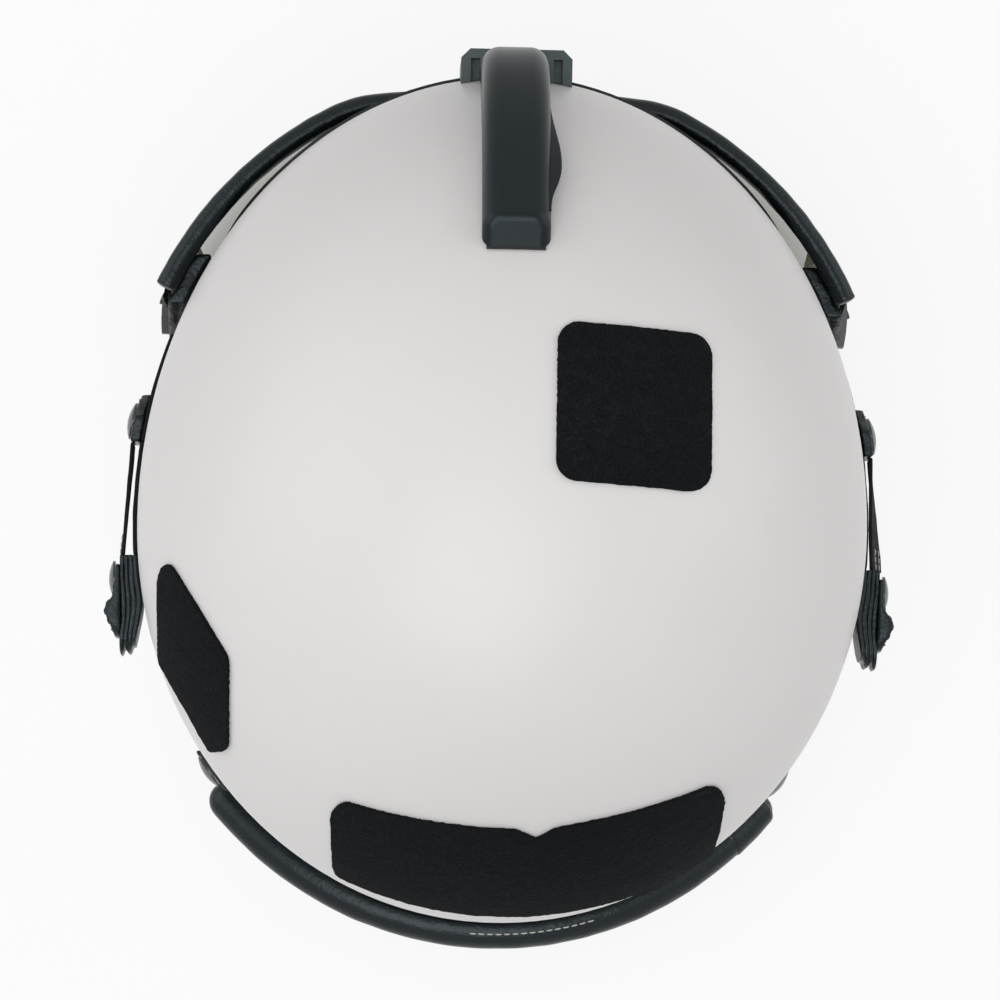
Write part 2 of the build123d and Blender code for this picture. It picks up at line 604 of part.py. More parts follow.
def dome_level(ahead):
    """The outer skin's level on the centre line, ahead of the widest plane."""
    share = ahead / SHELL_FRONT_REACH
    low, high = 0.0, 1.0
    for _ in range(60):
        t = (low + high) / 2
        across = 3 * (1 - t) ** 2 * t * DOME_FULLNESS_SHARE + 3 * (1 - t) * t**2 + t**3
        low, high = (t, high) if across < share else (low, t)
    return SHELL_CROWN_HEIGHT * ((1 - t) ** 3 + 3 * (1 - t) ** 2 * t + 3 * (1 - t) * t**2 * DOME_FULLNESS_SHARE)


def make_mount_screws():
    """Pan-head screws from inside the shell, and the holes that they pass through."""
    inside = SHELL_THICKNESS + SEAT_GAP
    screws = []
    holes = []
    for ahead in (MOUNT_SCREW_FIRST_AHEAD, MOUNT_SCREW_SECOND_AHEAD):
        place = brow_frame(ahead)
        head = Pos(0, 0, -inside + SEAT_GAP / 2 - MOUNT_SCREW_HEAD_HEIGHT / 2 - BOND_GAP)
        shank_length = inside + MOUNT_SCREW_BITE
        shank = Pos(0, 0, MOUNT_SCREW_BITE - shank_length / 2)
        screw = head * Cylinder(MOUNT_SCREW_HEAD_RADIUS, MOUNT_SCREW_HEAD_HEIGHT)
        screw += shank * Cylinder(MOUNT_SCREW_RADIUS, shank_length)
        depth = inside + MOUNT_SCREW_HEAD_HEIGHT + SEAT_GAP
        well = Pos(0, 0, -depth / 2) * Cylinder(MOUNT_SCREW_HEAD_RADIUS + SEAT_GAP, depth)
        bore = shank * Cylinder(MOUNT_SCREW_RADIUS + STUD_POST_CLEARANCE, shank_length + STUD_POST_CLEARANCE)
        screws.append(place * screw)
        holes.append((place * bore, place * well))
    return screws, holes


def make_spine(bores):
    """The curved housing on the brow: a side outline drawn through the width, hollowed for the button."""
    rear_level = dome_level(SPINE_REAR_AHEAD)
    crease_level = dome_level(SPINE_CREASE_AHEAD) + SPINE_STANDOFF
    middle_ahead = (SPINE_CREASE_AHEAD + SPINE_NOSE_AHEAD) / 2
    nose_top = (-SPINE_NOSE_AHEAD, SPINE_NOSE_TOP_LEVEL)
    crease = (-SPINE_CREASE_AHEAD, crease_level)
    slope = (dome_level(SPINE_CREASE_AHEAD) - rear_level) / (SPINE_CREASE_AHEAD - SPINE_REAR_AHEAD)
    pull = SPINE_NOSE_AHEAD - middle_ahead
    edges = [
        Bezier(
            crease,
            (-SPINE_CREASE_AHEAD - pull, crease_level + slope * pull),
            (-SPINE_NOSE_AHEAD, SPINE_NOSE_TOP_LEVEL + pull),
            nose_top,
        ),
        Line(nose_top, (-SPINE_NOSE_AHEAD, SPINE_NOSE_LEVEL)),
        Line((-SPINE_NOSE_AHEAD, SPINE_NOSE_LEVEL), (-SPINE_REAR_AHEAD, SPINE_NOSE_LEVEL)),
        Line((-SPINE_REAR_AHEAD, SPINE_NOSE_LEVEL), (-SPINE_REAR_AHEAD, rear_level)),
        Line((-SPINE_REAR_AHEAD, rear_level), crease),
    ]
    body = Plane.YZ * extrude(make_face(edges), SPINE_WIDTH / 2, both=True)
    nose_edges = body.edges().filter_by(Axis.Z).sort_by(Axis.Y)[:2]
    body = fillet(nose_edges, SPINE_NOSE_RADIUS)
    along = [e for e in body.edges() if e.geom_type == GeomType.BEZIER or e.geom_type == GeomType.BSPLINE]
    body = fillet(along, SPINE_EDGE_RADIUS)
    body -= egg(-GASKET_THICKNESS - BOND_GAP)
    for bore in bores:
        body -= bore
    spring_bore = spring_place() * Cylinder(
        SPRING_RADIUS + SEAT_GAP, SPRING_LENGTH + 2 * BOND_GAP
    )
    return body - make_button(SEAT_GAP, BUTTON_TRAVEL) - spring_bore


def spring_place():
    """The frame of the button's spring, between the button's inboard side and the spine's core."""
    middle = (BUTTON_LOW_STANDOFF + BUTTON_HIGH_STANDOFF) / 2
    x = -SPINE_WIDTH / 2 + BUTTON_INBOARD + SPRING_LENGTH / 2 + BOND_GAP
    return brow_frame((BUTTON_PEAK_AHEAD + BUTTON_FRONT_AHEAD) / 2) * Pos(x, 0, middle) * Rot(0, 90, 0)


def make_spring():
    """A button spring drawn as stacked washers on a core: it is hidden inside the spine."""
    turn = SPRING_LENGTH / (2 * TAB_LAYER_COUNT)
    wire = Cylinder(SPRING_RADIUS - SPRING_WIRE_RADIUS, SPRING_LENGTH)
    for n in range(TAB_LAYER_COUNT):
        wire += Pos(0, 0, (2 * n + 1) * turn - SPRING_LENGTH / 2) * Cylinder(SPRING_RADIUS, turn)
    return spring_place() * wire


def make_gasket(bores):
    """Thin rubber under the spine."""
    half = SPINE_WIDTH / 2 - SPINE_REAR_RADIUS / 2
    strip = block((-half, -SPINE_NOSE_AHEAD, SHOE_TOP_LEVEL), (half, -SPINE_REAR_AHEAD, SHELL_CROWN_HEIGHT))
    gasket = layer(BOND_GAP / 2, GASKET_THICKNESS) & strip
    for bore in bores:
        gasket -= bore
    return gasket


def make_shoe():
    """The goggle shoe: a block on the brow with a socket that opens down and forwards."""
    half = SHOE_WIDTH / 2
    low = (-SHOE_OFFSET - half, -SHOE_FRONT_AHEAD, SHOE_FOOT_LEVEL)
    high = (-SHOE_OFFSET + half, -SHOE_BACK_AHEAD, SHOE_TOP_LEVEL)
    body = block(low, high)
    body = chamfer(body.edges().filter_by(Axis.Z).sort_by(Axis.Y)[:2], SHOE_CHAMFER)
    body -= egg(-BOND_GAP)
    body -= egg(-BEAD_PROUD - SEAT_GAP) & rim_prism(BEAD_COVER + SEAT_GAP)
    slot_half = SHOE_SOCKET_WIDTH / 2
    middle = -SHOE_OFFSET
    back = -SHOE_FRONT_AHEAD + SHOE_SOCKET_DEPTH
    body -= block(
        (middle - slot_half, -SHOE_FRONT_AHEAD - OVERRUN, SHOE_FOOT_LEVEL - OVERRUN),
        (middle + slot_half, back, SHOE_SOCKET_TOP_LEVEL),
    )
    undercut = slot_half + SHOE_LIP
    body -= block(
        (middle - undercut, -SHOE_FRONT_AHEAD + SHOE_LIP_DEPTH, SHOE_FOOT_LEVEL - OVERRUN),
        (middle + undercut, back, SHOE_SOCKET_TOP_LEVEL),
    )
    for side in (-1, 1):
        outer = middle + side * (half - SHOE_WALL)
        inner = outer - side * SHOE_POCKET_WIDTH
        body -= block(
            (min(outer, inner), -SHOE_FRONT_AHEAD + SHOE_WALL, SHOE_SOCKET_TOP_LEVEL + SHOE_LIP),
            (max(outer, inner), -SHOE_FRONT_AHEAD + SHOE_WALL + SHOE_POCKET_DEPTH, SHOE_TOP_LEVEL + OVERRUN),
        )
    return body - pawl_block(BOND_GAP, BUTTON_TRAVEL)


def pawl_block(grow=0.0, travel=0.0):
    """The pawl in the shoe's right wall, or with grow and travel its pocket."""
    wall = -SHOE_OFFSET - SHOE_SOCKET_WIDTH / 2 - SHOE_LIP
    front = -SHOE_FRONT_AHEAD + PAWL_BEHIND_FACE
    low = (wall - PAWL_LENGTH + PAWL_NOSE - grow - travel, front - grow, PAWL_LEVEL - grow)
    high = (wall + PAWL_NOSE + grow, front + PAWL_THICKNESS + grow, PAWL_LEVEL + PAWL_HEIGHT + grow)
    return block(low, high)


def lens_outline(out, share):
    """The lens in plan, as a closed face: out lies outside the mid surface, share scales it about its centre."""
    front = math.radians(LENS_FRONT_ANGLE)
    corner = math.radians(LENS_CORNER_ANGLE)
    rear = math.radians(LENS_REAR_ANGLE)
    side_x = LENS_SIDE_RADIUS * math.sin(corner)
    side_y = LENS_SIDE_RADIUS * math.cos(corner)
    bend_x = side_x - LENS_CORNER_RADIUS * (math.sin(corner) - math.sin(front))
    bend_y = side_y + LENS_CORNER_RADIUS * (math.cos(front) - math.cos(corner))
    front_radius = bend_x / math.sin(front)
    top_y = bend_y + front_radius * (1 - math.cos(front))

    def at(x, y, angle):
        """A point pushed out along its normal, scaled, and turned so that the face looks along -Y."""
        px = (x + out * math.sin(abs(angle))) * share if angle >= 0 else -(x + out * math.sin(abs(angle))) * share
        return px, -LENS_CENTRE_AHEAD - (y + out * math.cos(angle)) * share

    half_corner = (front + corner) / 2
    mid_x = side_x - LENS_CORNER_RADIUS * (math.sin(corner) - math.sin(half_corner))
    mid_y = side_y + LENS_CORNER_RADIUS * (math.cos(half_corner) - math.cos(corner))
    half_side = (corner + rear) / 2
    ends = []
    arcs = []
    for sign in (1, -1):
        bend = at(bend_x, bend_y, sign * front)
        joint = at(side_x, side_y, sign * corner)
        end = at(LENS_SIDE_RADIUS * math.sin(rear), LENS_SIDE_RADIUS * math.cos(rear), sign * rear)
        half = at(LENS_SIDE_RADIUS * math.sin(half_side), LENS_SIDE_RADIUS * math.cos(half_side), sign * half_side)
        arcs.append(ThreePointArc(bend, at(mid_x, mid_y, sign * half_corner), joint))
        arcs.append(ThreePointArc(joint, half, end))
        ends.append((bend, end))
    arcs.append(ThreePointArc(ends[0][0], at(0, top_y, 0.0), ends[1][0]))
    arcs.append(Line(ends[0][1], ends[1][1]))
    return make_face(arcs)


def lens_form(out):
    """The closed body whose skin lies out beyond the lens's mid surface."""
    levels = (
        (LENS_TOP_LEVEL + 2 * ROLL_RADIUS, 1.0),
        (LENS_MIDDLE_LEVEL, LENS_MIDDLE_WIDTH_SHARE),
        (LENS_FOOT_LEVEL, LENS_FOOT_WIDTH_SHARE),
    )
    return loft([Pos(0, 0, level) * lens_outline(out, share) for level, share in levels])


def lens_side_outline():
    """The lens seen from the side, as (y, z)."""
    far = SHELL_FRONT_REACH + OVERRUN
    return [
        (-far, LENS_TOP_LEVEL),
        (-LENS_REAR_TOP_AHEAD, LENS_TOP_LEVEL),
        (-LENS_REAR_FOOT_AHEAD, LENS_REAR_FOOT_LEVEL),
        (-LENS_CHEEK_AHEAD, LENS_CHEEK_LEVEL),
        (-SHELL_FRONT_REACH + OVERRUN, LENS_FOOT_LEVEL),
        (-far, LENS_FOOT_LEVEL),
    ]


def make_lens():
    half = LENS_THICKNESS / 2
    skin = lens_form(half) - lens_form(-half)
    skin &= side_prism(lens_side_outline(), LENS_EDGE_RADIUS, (2, 3, 4))
    foot = LENS_FOOT_LEVEL - OVERRUN
    top = LENS_FOOT_LEVEL + NOSE_RISE
    outline = [(-NOSE_HALF_WIDTH, foot), (NOSE_HALF_WIDTH, foot), (NOSE_TOP_RADIUS, top), (-NOSE_TOP_RADIUS, top)]
    nose = Plane.XZ * extrude(rounded(outline, NOSE_TOP_RADIUS / 2, (2, 3)), LONG, both=True)
    return skin - nose


def roll_path():
    """The roll's path: the lens's mid surface at its top edge, as far back as the lens goes."""
    outline = Pos(0, 0, LENS_TOP_LEVEL) * lens_outline(0.0, 1.0)
    arcs = [e for e in outline.edges() if e.geom_type == GeomType.CIRCLE]
    keep = block((-WIDE, -LONG, -WIDE), (WIDE, -LENS_REAR_TOP_AHEAD, WIDE))
    pieces = [edge for arc in arcs for edge in (arc & keep).edges()]
    return Wire(pieces)


def make_roll(lens):
    """The padded roll on the lens's top edge; the lens stands in a groove in it."""
    path = roll_path()
    start = path @ 0
    section = Plane(start, z_dir=path % 0) * Circle(ROLL_RADIUS)
    return sweep(section, path=path) - grown_lens_edge()


def grown_lens_edge():
    half = LENS_THICKNESS / 2 + BOND_GAP
    skin = lens_form(half) - lens_form(-half)
    return skin & block((-WIDE, -LONG, LENS_FOOT_LEVEL), (WIDE, 0, LENS_TOP_LEVEL + BOND_GAP))


def make_side_pad():
    """The pad between the left rear end of the lens and the shell's cheek."""
    reach = lens_form(-LENS_THICKNESS / 2 - BOND_GAP) - egg(-SLIDE_GAP - BEAD_PROUD)
    outline = [
        (-SIDE_PAD_FRONT_AHEAD, SIDE_PAD_TOP_LEVEL),
        (-LENS_REAR_TOP_AHEAD + ROLL_RADIUS, SIDE_PAD_TOP_LEVEL),
        (-STRAP_LAP_AHEAD, LENS_REAR_FOOT_LEVEL),
        (-SIDE_PAD_FRONT_AHEAD, LENS_REAR_FOOT_LEVEL - ROLL_RADIUS),
    ]
    pad = reach & side_prism(outline) & block((0, -LONG, -LONG), (WIDE, 0, LONG))
    return pad.solids().sort_by(SortBy.VOLUME)[-1]


def lens_side(ahead, level):
    """The place and the outward normal of the lens's left outer face, at a place near its rear end."""
    form = lens_form(LENS_THICKNESS / 2)
    way = Line((0, -ahead, level), (WIDE, -ahead, level)) & form
    place = way.vertices().sort_by(Axis.X)[-1].center()
    face = form.faces().sort_by_distance(place)[0]
    return place, face.normal_at(place)


def make_rivet():
    """A rivet through the lens into the left side pad, with its hole."""
    foot, normal = lens_side(RIVET_AHEAD, RIVET_LEVEL)
    place = Location(Plane(foot, z_dir=normal, x_dir=(0, 0, 1)))
    grip = LENS_THICKNESS + RIVET_RISE
    shank = Pos(0, 0, -grip / 2) * Cylinder(RIVET_RADIUS / 2, grip)
    head = Pos(0, 0, RIVET_RISE / 2 + SEAT_GAP) * Cylinder(RIVET_RADIUS, RIVET_RISE)
    neck = Pos(0, 0, SEAT_GAP / 2) * Cylinder(RIVET_RADIUS / 2, SEAT_GAP)
    hole = Pos(0, 0, -grip / 2) * Cylinder(RIVET_RADIUS / 2 + BOND_GAP, grip + 2 * SEAT_GAP)
    return place * (head + neck + shank), place * hole


def side_band(low, high, rear_y, front_y, foot, top):
    """A band that lies on the shell's left side."""
    return layer(low, high) & block((0, front_y, foot), (WIDE, rear_y, top))


def make_front_tab():
    """The left front tab and its press stud, outside the side strap."""
    low = SLIDE_GAP + STRAP_THICKNESS + BOND_GAP
    high = low + FRONT_TAB_THICKNESS
    middle = (FRONT_TAB_FRONT_AHEAD + FRONT_TAB_REAR_AHEAD) / 2
    centre = (STRAP_TOP_LEVEL + STRAP_FOOT_LEVEL) / 2
    outline = [
        (-FRONT_TAB_FRONT_AHEAD, centre),
        (-middle, STRAP_TOP_LEVEL),
        (-FRONT_TAB_REAR_AHEAD, STRAP_TOP_LEVEL),
        (-FRONT_TAB_REAR_AHEAD, STRAP_FOOT_LEVEL),
        (-middle, STRAP_FOOT_LEVEL),
    ]
    tab = layer(low, high) & side_prism(outline, TAB_LAYER_THICKNESS, (0, 1, 2, 3, 4))
    tab &= block((0, -LONG, -SHELL_DEPTH), (WIDE, 0, 0))
    lift = high + SEAT_GAP
    place = Location(outward(shell_side(-FRONT_STUD_AHEAD, -lift, STUD_LEVEL), -FRONT_STUD_AHEAD, STUD_LEVEL))
    post = FRONT_TAB_THICKNESS / 2 + SEAT_GAP
    return tab - place * post_hole(post), place * stud(post)


def rear_tab_frame():
    """The left rear tabs' frame: X runs backwards along the stack, Z points away from the shell."""
    lean = math.radians(REAR_TAB_LEAN)
    back = Vector(-math.sin(lean), math.cos(lean), 0)
    return Plane((REAR_TAB_INNER_SIDE, REAR_TAB_FRONT_BEHIND, STUD_LEVEL), x_dir=back, z_dir=back.cross(Vector(0, 0, 1)))


def stack_height():
    return TAB_LAYER_COUNT * TAB_LAYER_THICKNESS + (TAB_LAYER_COUNT - 1) * TAB_LAYER_GAP


def make_rear_tabs():
    """The left stack of leather tabs, its pull tab and its press stud."""
    frame = Location(rear_tab_frame())
    along = REAR_STUD_BEHIND - REAR_TAB_FRONT_BEHIND
    top = stack_height()
    total = top + 2 * TAB_LAYER_GAP + TAB_LAYER_THICKNESS
    reach = total + REAR_TAB_INNER_SIDE - shell_side(REAR_STUD_BEHIND, 0.0, STUD_LEVEL)
    drill = Pos(along, 0, total) * post_hole(total + SHELL_THICKNESS)
    layers = []
    for n in range(TAB_LAYER_COUNT):
        length = TAB_LAYER_LENGTH - TAB_LAYER_STEP * (TAB_LAYER_COUNT - 1 - n) / TAB_LAYER_COUNT
        plate = tab_plate(length, TAB_LAYER_HEIGHT - n * TAB_LAYER_STEP)
        layers.append(frame * (Pos(0, 0, n * (TAB_LAYER_THICKNESS + TAB_LAYER_GAP)) * plate - drill))
    pull = Pos(TAB_END_RADIUS / 2, 0, top + TAB_LAYER_GAP) * tab_plate(PULL_TAB_LENGTH, TAB_LAYER_HEIGHT)
    pull = frame * (pull - drill)
    cap = frame * Pos(along, 0, total + SEAT_GAP) * stud(reach - BOND_GAP)
    return layers, pull, cap - egg(-BOND_GAP)


def tab_plate(length, height):
    half = height / 2
    outline = [(0, -half), (length, -half), (length, half), (0, half)]
    return extrude(rounded(outline, TAB_END_RADIUS, (1, 2)), TAB_LAYER_THICKNESS)


def make_outer_elastic():
    """The straight elastic from the left front tab to the outer leather tab."""
    lean = math.radians(REAR_TAB_LEAN)
    out = stack_height() - TAB_LAYER_THICKNESS
    end_x = REAR_TAB_INNER_SIDE + out * math.cos(lean)
    end_y = REAR_TAB_FRONT_BEHIND - BOND_GAP
    tab_top = SLIDE_GAP + STRAP_THICKNESS + BOND_GAP + FRONT_TAB_THICKNESS
    start_y = -FRONT_TAB_REAR_AHEAD + BOND_GAP
    start_x = shell_side(start_y, -tab_top, STUD_LEVEL) - ELASTIC_THICKNESS
    outline = [(start_x, start_y), (end_x, end_y), (end_x + ELASTIC_THICKNESS, end_y), (start_x + ELASTIC_THICKNESS, start_y)]
    column = extrude(make_face(Polyline(*outline, close=True)), ELASTIC_HEIGHT)
    return Pos(0, 0, STUD_LEVEL - ELASTIC_HEIGHT / 2) * column


def oval(grow, thickness):
    """An oval prism about the ear's axis that runs inboard from the YZ plane."""
    return Plane.YZ * extrude(Ellipse(CUP_HALF_LENGTH + grow, CUP_HALF_HEIGHT + grow), thickness)


def make_earcup():
    """The left earcup with its speaker, foam, seal and the spacer behind it."""
    centre = Pos(0, EAR_BEHIND, EAR_LEVEL)
    depth = CUP_OUTER_SIDE - CUP_MOUTH_SIDE
    cup = Pos(CUP_MOUTH_SIDE, 0, 0) * oval(0.0, depth)
    cup = fillet(cup.edges().sort_by(Axis.X)[-1:], CUP_EDGE_RADIUS)
    cup -= Pos(CUP_MOUTH_SIDE - CUP_WALL, 0, 0) * oval(-CUP_WALL, depth)
    speaker_x = CUP_OUTER_SIDE - CUP_WALL - SPEAKER_THICKNESS / 2 - BOND_GAP
    speaker = Pos(speaker_x, 0, 0) * Rot(0, 90, 0) * Cylinder(SPEAKER_RADIUS, SPEAKER_THICKNESS)
    foam_x = speaker_x - SPEAKER_THICKNESS / 2 - BOND_GAP - CUP_FOAM_THICKNESS
    foam = Pos(foam_x, 0, 0) * oval(-CUP_WALL - SEAT_GAP, CUP_FOAM_THICKNESS)
    seal = Pos(CUP_MOUTH_SIDE - BOND_GAP - SEAL_THICKNESS, 0, 0) * oval(CUP_WALL / 2, SEAL_THICKNESS)
    seal = fillet(seal.edges(), SEAL_EDGE_RADIUS)
    seal -= Pos(CUP_MOUTH_SIDE - 2 * SEAL_THICKNESS, 0, 0) * oval(-SEAL_WIDTH, 2 * SEAL_THICKNESS)
    spacer = Pos(CUP_OUTER_SIDE + BOND_GAP + OVERRUN / 2, 0, 0) * Rot(0, 90, 0) * (
        Cylinder(SPACER_RADIUS, OVERRUN) - Cylinder(SPACER_BORE, OVERRUN)
    )
    placed = [centre * piece for piece in (cup, speaker, foam, seal, spacer)]
    placed[4] &= egg(SHELL_THICKNESS + BOND_GAP)
    return placed


def chin_arc(out):
    """The chin strap's line in plan, out outside its mid line."""
    half = CHIN_STRAP_HALF_WIDTH + out
    front = -CHIN_STRAP_ANCHOR_AHEAD - CHIN_STRAP_REACH - out
    return ThreePointArc((half, -CHIN_STRAP_ANCHOR_AHEAD), (0, front), (-half, -CHIN_STRAP_ANCHOR_AHEAD))


def chin_band(low, high, foot, top):
    outer = chin_arc(high)
    inner = chin_arc(low)
    face = make_face([outer, inner, Line(outer @ 0, inner @ 0), Line(outer @ 1, inner @ 1)])
    return Pos(0, 0, foot) * extrude(face, top - foot)


def make_chin_strap():
    """Left and right straps that meet the chin pad, and the pad itself."""
    foot = CHIN_STRAP_FOOT_LEVEL
    top = foot + CHIN_STRAP_HEIGHT
    band = chin_band(0.0, CHIN_STRAP_THICKNESS, foot, top)
    pad = chin_band(-BOND_GAP - CHIN_PAD_THICKNESS, -BOND_GAP, foot - CHIN_PAD_OVERHANG, top + CHIN_PAD_OVERHANG)
    pad &= block((-CHIN_PAD_HALF_WIDTH, -LONG, -LONG), (CHIN_PAD_HALF_WIDTH, 0, LONG))
    left = band & block((BOND_GAP / 2, -LONG, -LONG), (WIDE, 0, LONG))
    right = band & block((-WIDE, -LONG, -LONG), (-BOND_GAP / 2, 0, LONG))
    return left, right, pad


def make_chin_anchor():
    """The left anchor block that carries the chin strap on the shell's inner wall."""
    centre = CHIN_STRAP_FOOT_LEVEL + CHIN_STRAP_HEIGHT / 2
    start = CHIN_STRAP_HALF_WIDTH + CHIN_STRAP_THICKNESS + BOND_GAP
    depth = shell_side(-CHIN_STRAP_ANCHOR_AHEAD, 0.0, centre) - start
    post = Pos(start + depth / 2, -CHIN_STRAP_ANCHOR_AHEAD - CHIN_ANCHOR_RADIUS, centre) * Rot(0, 90, 0) * Cylinder(
        CHIN_ANCHOR_RADIUS, depth
    )
    return post - chin_reach() & egg(SHELL_THICKNESS + BEAD_PROUD + BOND_GAP)


def chin_reach():
    """The room inside the chin strap's outer face."""
    outer = chin_arc(CHIN_STRAP_THICKNESS + BOND_GAP)
    face = make_face([outer, Line(outer @ 1, outer @ 0)])
    return Pos(0, 0, -LONG) * extrude(face, LONG)


def make_nape_pad():
    low = SHELL_THICKNESS + BEAD_PROUD + SEAT_GAP
    skin = layer(-low - NAPE_PAD_THICKNESS, -low)
    window = block(
        (-NAPE_PAD_HALF_WIDTH, 0, NAPE_PAD_FOOT_LEVEL), (NAPE_PAD_HALF_WIDTH, LONG, NAPE_PAD_TOP_LEVEL)
    )
    return skin & window


def front_extent():
    return SHOE_FRONT_AHEAD


def rear_extent():
    """How far behind the widest plane the nape roll reaches."""
    return nape_roll_box.max.Y


nodes = {}
nape_roll = make_nape_roll()
nape_roll_box = nape_roll.bounding_box()
shell = make_shell()
screws, screw_holes = make_mount_screws()
bores = [bore for bore, well in screw_holes]
for bore in bores:
    shell -= bore
nodes["edge_bead"] = make_bead(shell, nape_roll)
nodes["nape_roll"] = nape_roll

tab, cap = make_nape_tabs()
nodes["nape_tab_left"] = tab - nape_roll
nodes["nape_stud_left"] = cap

liner = make_liner()
for bore, well in screw_holes:
    liner -= well
nodes["impact_liner"] = liner
pad_skin = pad_layer()
nodes["crown_pad"] = make_crown_pad(pad_skin)
nodes["brow_pad"] = wall_pad(pad_skin, BROW_PAD_WIDTH, BROW_PAD_FOOT_LEVEL, BROW_PAD_TOP_LEVEL, True)
nodes["rear_pad"] = wall_pad(pad_skin, REAR_PAD_WIDTH, REAR_PAD_FOOT_LEVEL, REAR_PAD_TOP_LEVEL, False)
nodes["crown_patch"], nodes["side_patch"], nodes["rear_patch"] = make_patches()

nodes["mount_spine"] = make_spine(bores)
nodes["mount_gasket"] = make_gasket(bores)
nodes["mount_shoe"] = make_shoe()
nodes["mount_screws"] = Compound(children=[s for screw in screws for s in screw.solids()])
nodes["release_button"] = make_button()
nodes["button_spring"] = make_spring()
nodes["latch_pawl"] = pawl_block()

rivet, rivet_hole = make_rivet()
lens = make_lens() - rivet_hole - mirrored(rivet_hole)
nodes["visor_lens"] = lens
nodes["visor_roll"] = make_roll(lens)
nodes["visor_pad_left"] = make_side_pad() - rivet_hole
nodes["visor_rivets"] = Compound(children=[*rivet.solids(), *mirrored(rivet).solids()])
strap_low = SLIDE_GAP
strap_high = SLIDE_GAP + STRAP_THICKNESS
nodes["side_strap_left"] = side_band(
    strap_low, strap_high, -FRONT_TAB_REAR_AHEAD, -STRAP_LAP_AHEAD + BOND_GAP, STRAP_FOOT_LEVEL, STRAP_TOP_LEVEL
)
nodes["front_tab_left"], nodes["front_stud_left"] = make_front_tab()
nodes["inner_elastic_left"] = side_band(
    strap_low,
    strap_high,
    REAR_TAB_FRONT_BEHIND - BOND_GAP,
    -FRONT_TAB_REAR_AHEAD + BOND_GAP,
    STRAP_FOOT_LEVEL,
    STRAP_TOP_LEVEL,
)
nodes["outer_elastic_left"] = make_outer_elastic()
tabs, pull_tab, rear_cap = make_rear_tabs()
nodes["rear_tabs_left"] = Compound(children=[s for t in tabs for s in t.solids()])
nodes["pull_tab_left"] = pull_tab
nodes["rear_stud_left"] = rear_cap

cup, speaker, foam, seal, spacer = make_earcup()
nodes["earcup_left"] = cup
nodes["speaker_left"] = speaker
nodes["cup_foam_left"] = foam
nodes["ear_seal_left"] = seal
nodes["cup_spacer_left"] = spacer

nodes["chin_strap_left"], nodes["chin_strap_right"], nodes["chin_pad"] = make_chin_strap()
nodes["chin_anchor_left"] = make_chin_anchor()
nodes["nape_pad"] = make_nape_pad()
nodes["outer_shell"] = shell

for name in [name for name in nodes if name.endswith("_left") and name != "chin_strap_left"]:
    nodes[name.replace("_left", "_right")] = mirrored(nodes[name])

place = Pos(0, (front_extent() - rear_extent()) / 2, STAND_HEIGHT)
os.makedirs("parts", exist_ok=True)
for name, solid in nodes.items():
    export_step(place * solid, f"parts/{name}.step")
print("moved by", place.position, "rear reach", rear_extent())
print(len(nodes), "nodes")
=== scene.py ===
# %% [markdown]
# # A pilot's flight helmet, finished for the camera
# The rigid pieces come from the construction model and keep their shape and place. This notebook adds
# what a construction model leaves plain: finishes, stuffed leather, cloth, foam, stitching, light and a
# camera. The frame is loaded first, because everything that follows is placed by its corners.

# %% Load the frame
import json
import math

import bmesh
import bpy
import numpy as np
from mathutils import Matrix, Vector
from mathutils.bvhtree import BVHTree


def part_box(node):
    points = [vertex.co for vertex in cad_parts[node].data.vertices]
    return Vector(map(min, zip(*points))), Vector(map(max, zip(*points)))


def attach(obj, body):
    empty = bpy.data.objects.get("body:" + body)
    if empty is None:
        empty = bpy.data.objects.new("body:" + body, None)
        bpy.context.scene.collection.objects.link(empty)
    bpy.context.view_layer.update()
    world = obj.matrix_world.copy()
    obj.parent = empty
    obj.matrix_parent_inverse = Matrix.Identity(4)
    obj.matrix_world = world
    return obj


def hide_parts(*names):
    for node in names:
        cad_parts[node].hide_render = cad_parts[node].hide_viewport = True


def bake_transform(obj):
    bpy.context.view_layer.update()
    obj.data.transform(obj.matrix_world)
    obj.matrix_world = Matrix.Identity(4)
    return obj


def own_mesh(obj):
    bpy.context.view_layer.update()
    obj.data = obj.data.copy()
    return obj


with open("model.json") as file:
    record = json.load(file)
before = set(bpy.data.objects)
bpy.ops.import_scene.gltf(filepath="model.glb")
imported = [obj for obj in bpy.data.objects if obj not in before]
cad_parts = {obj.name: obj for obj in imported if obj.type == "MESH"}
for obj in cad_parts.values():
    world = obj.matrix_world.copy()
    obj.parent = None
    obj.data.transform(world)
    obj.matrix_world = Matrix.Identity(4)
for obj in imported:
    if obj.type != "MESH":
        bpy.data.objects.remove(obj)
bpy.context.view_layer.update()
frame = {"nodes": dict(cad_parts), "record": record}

MM = 0.001
nodes = frame["nodes"]

# %% [markdown]
# ## Where the dome's centre is
# The shell is an egg round one centre on its widest level. The goggle shoe stands a known way ahead of
# that centre and above it, so the centre is read back from the shoe's corner instead of being typed a
# second time.

# %% Find the dome's centre
SHOE_AHEAD = 155.6 * MM
SHOE_LEVEL = 7.5 * MM
shoe_low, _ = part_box("mount_shoe")
dome = Vector((0, shoe_low.y + SHOE_AHEAD, shoe_low.z - SHOE_LEVEL))
print("dome centre:", [round(c, 4) for c in dome])

# %% [markdown]
# ## The camera
# The picture looks almost straight down on the crown from two metres with a long lens, and leans a few
# degrees to the rear and to one side. A long lens far away keeps the sides nearly parallel, as in a
# catalogue picture. The camera's three axes are worked out from those small angles and become the columns
# of its rotation.

# %% Make the camera
CAMERA_PITCH = 4.0
CAMERA_ROLL = 1.4
CAMERA_YAW = 1.1
CAMERA_DISTANCE = 2040 * MM
CAMERA_LENS = 220.9
CAMERA_RIGHT = -0.6 * MM
CAMERA_UP = 9.3 * MM
CAMERA_FAR = 20.0


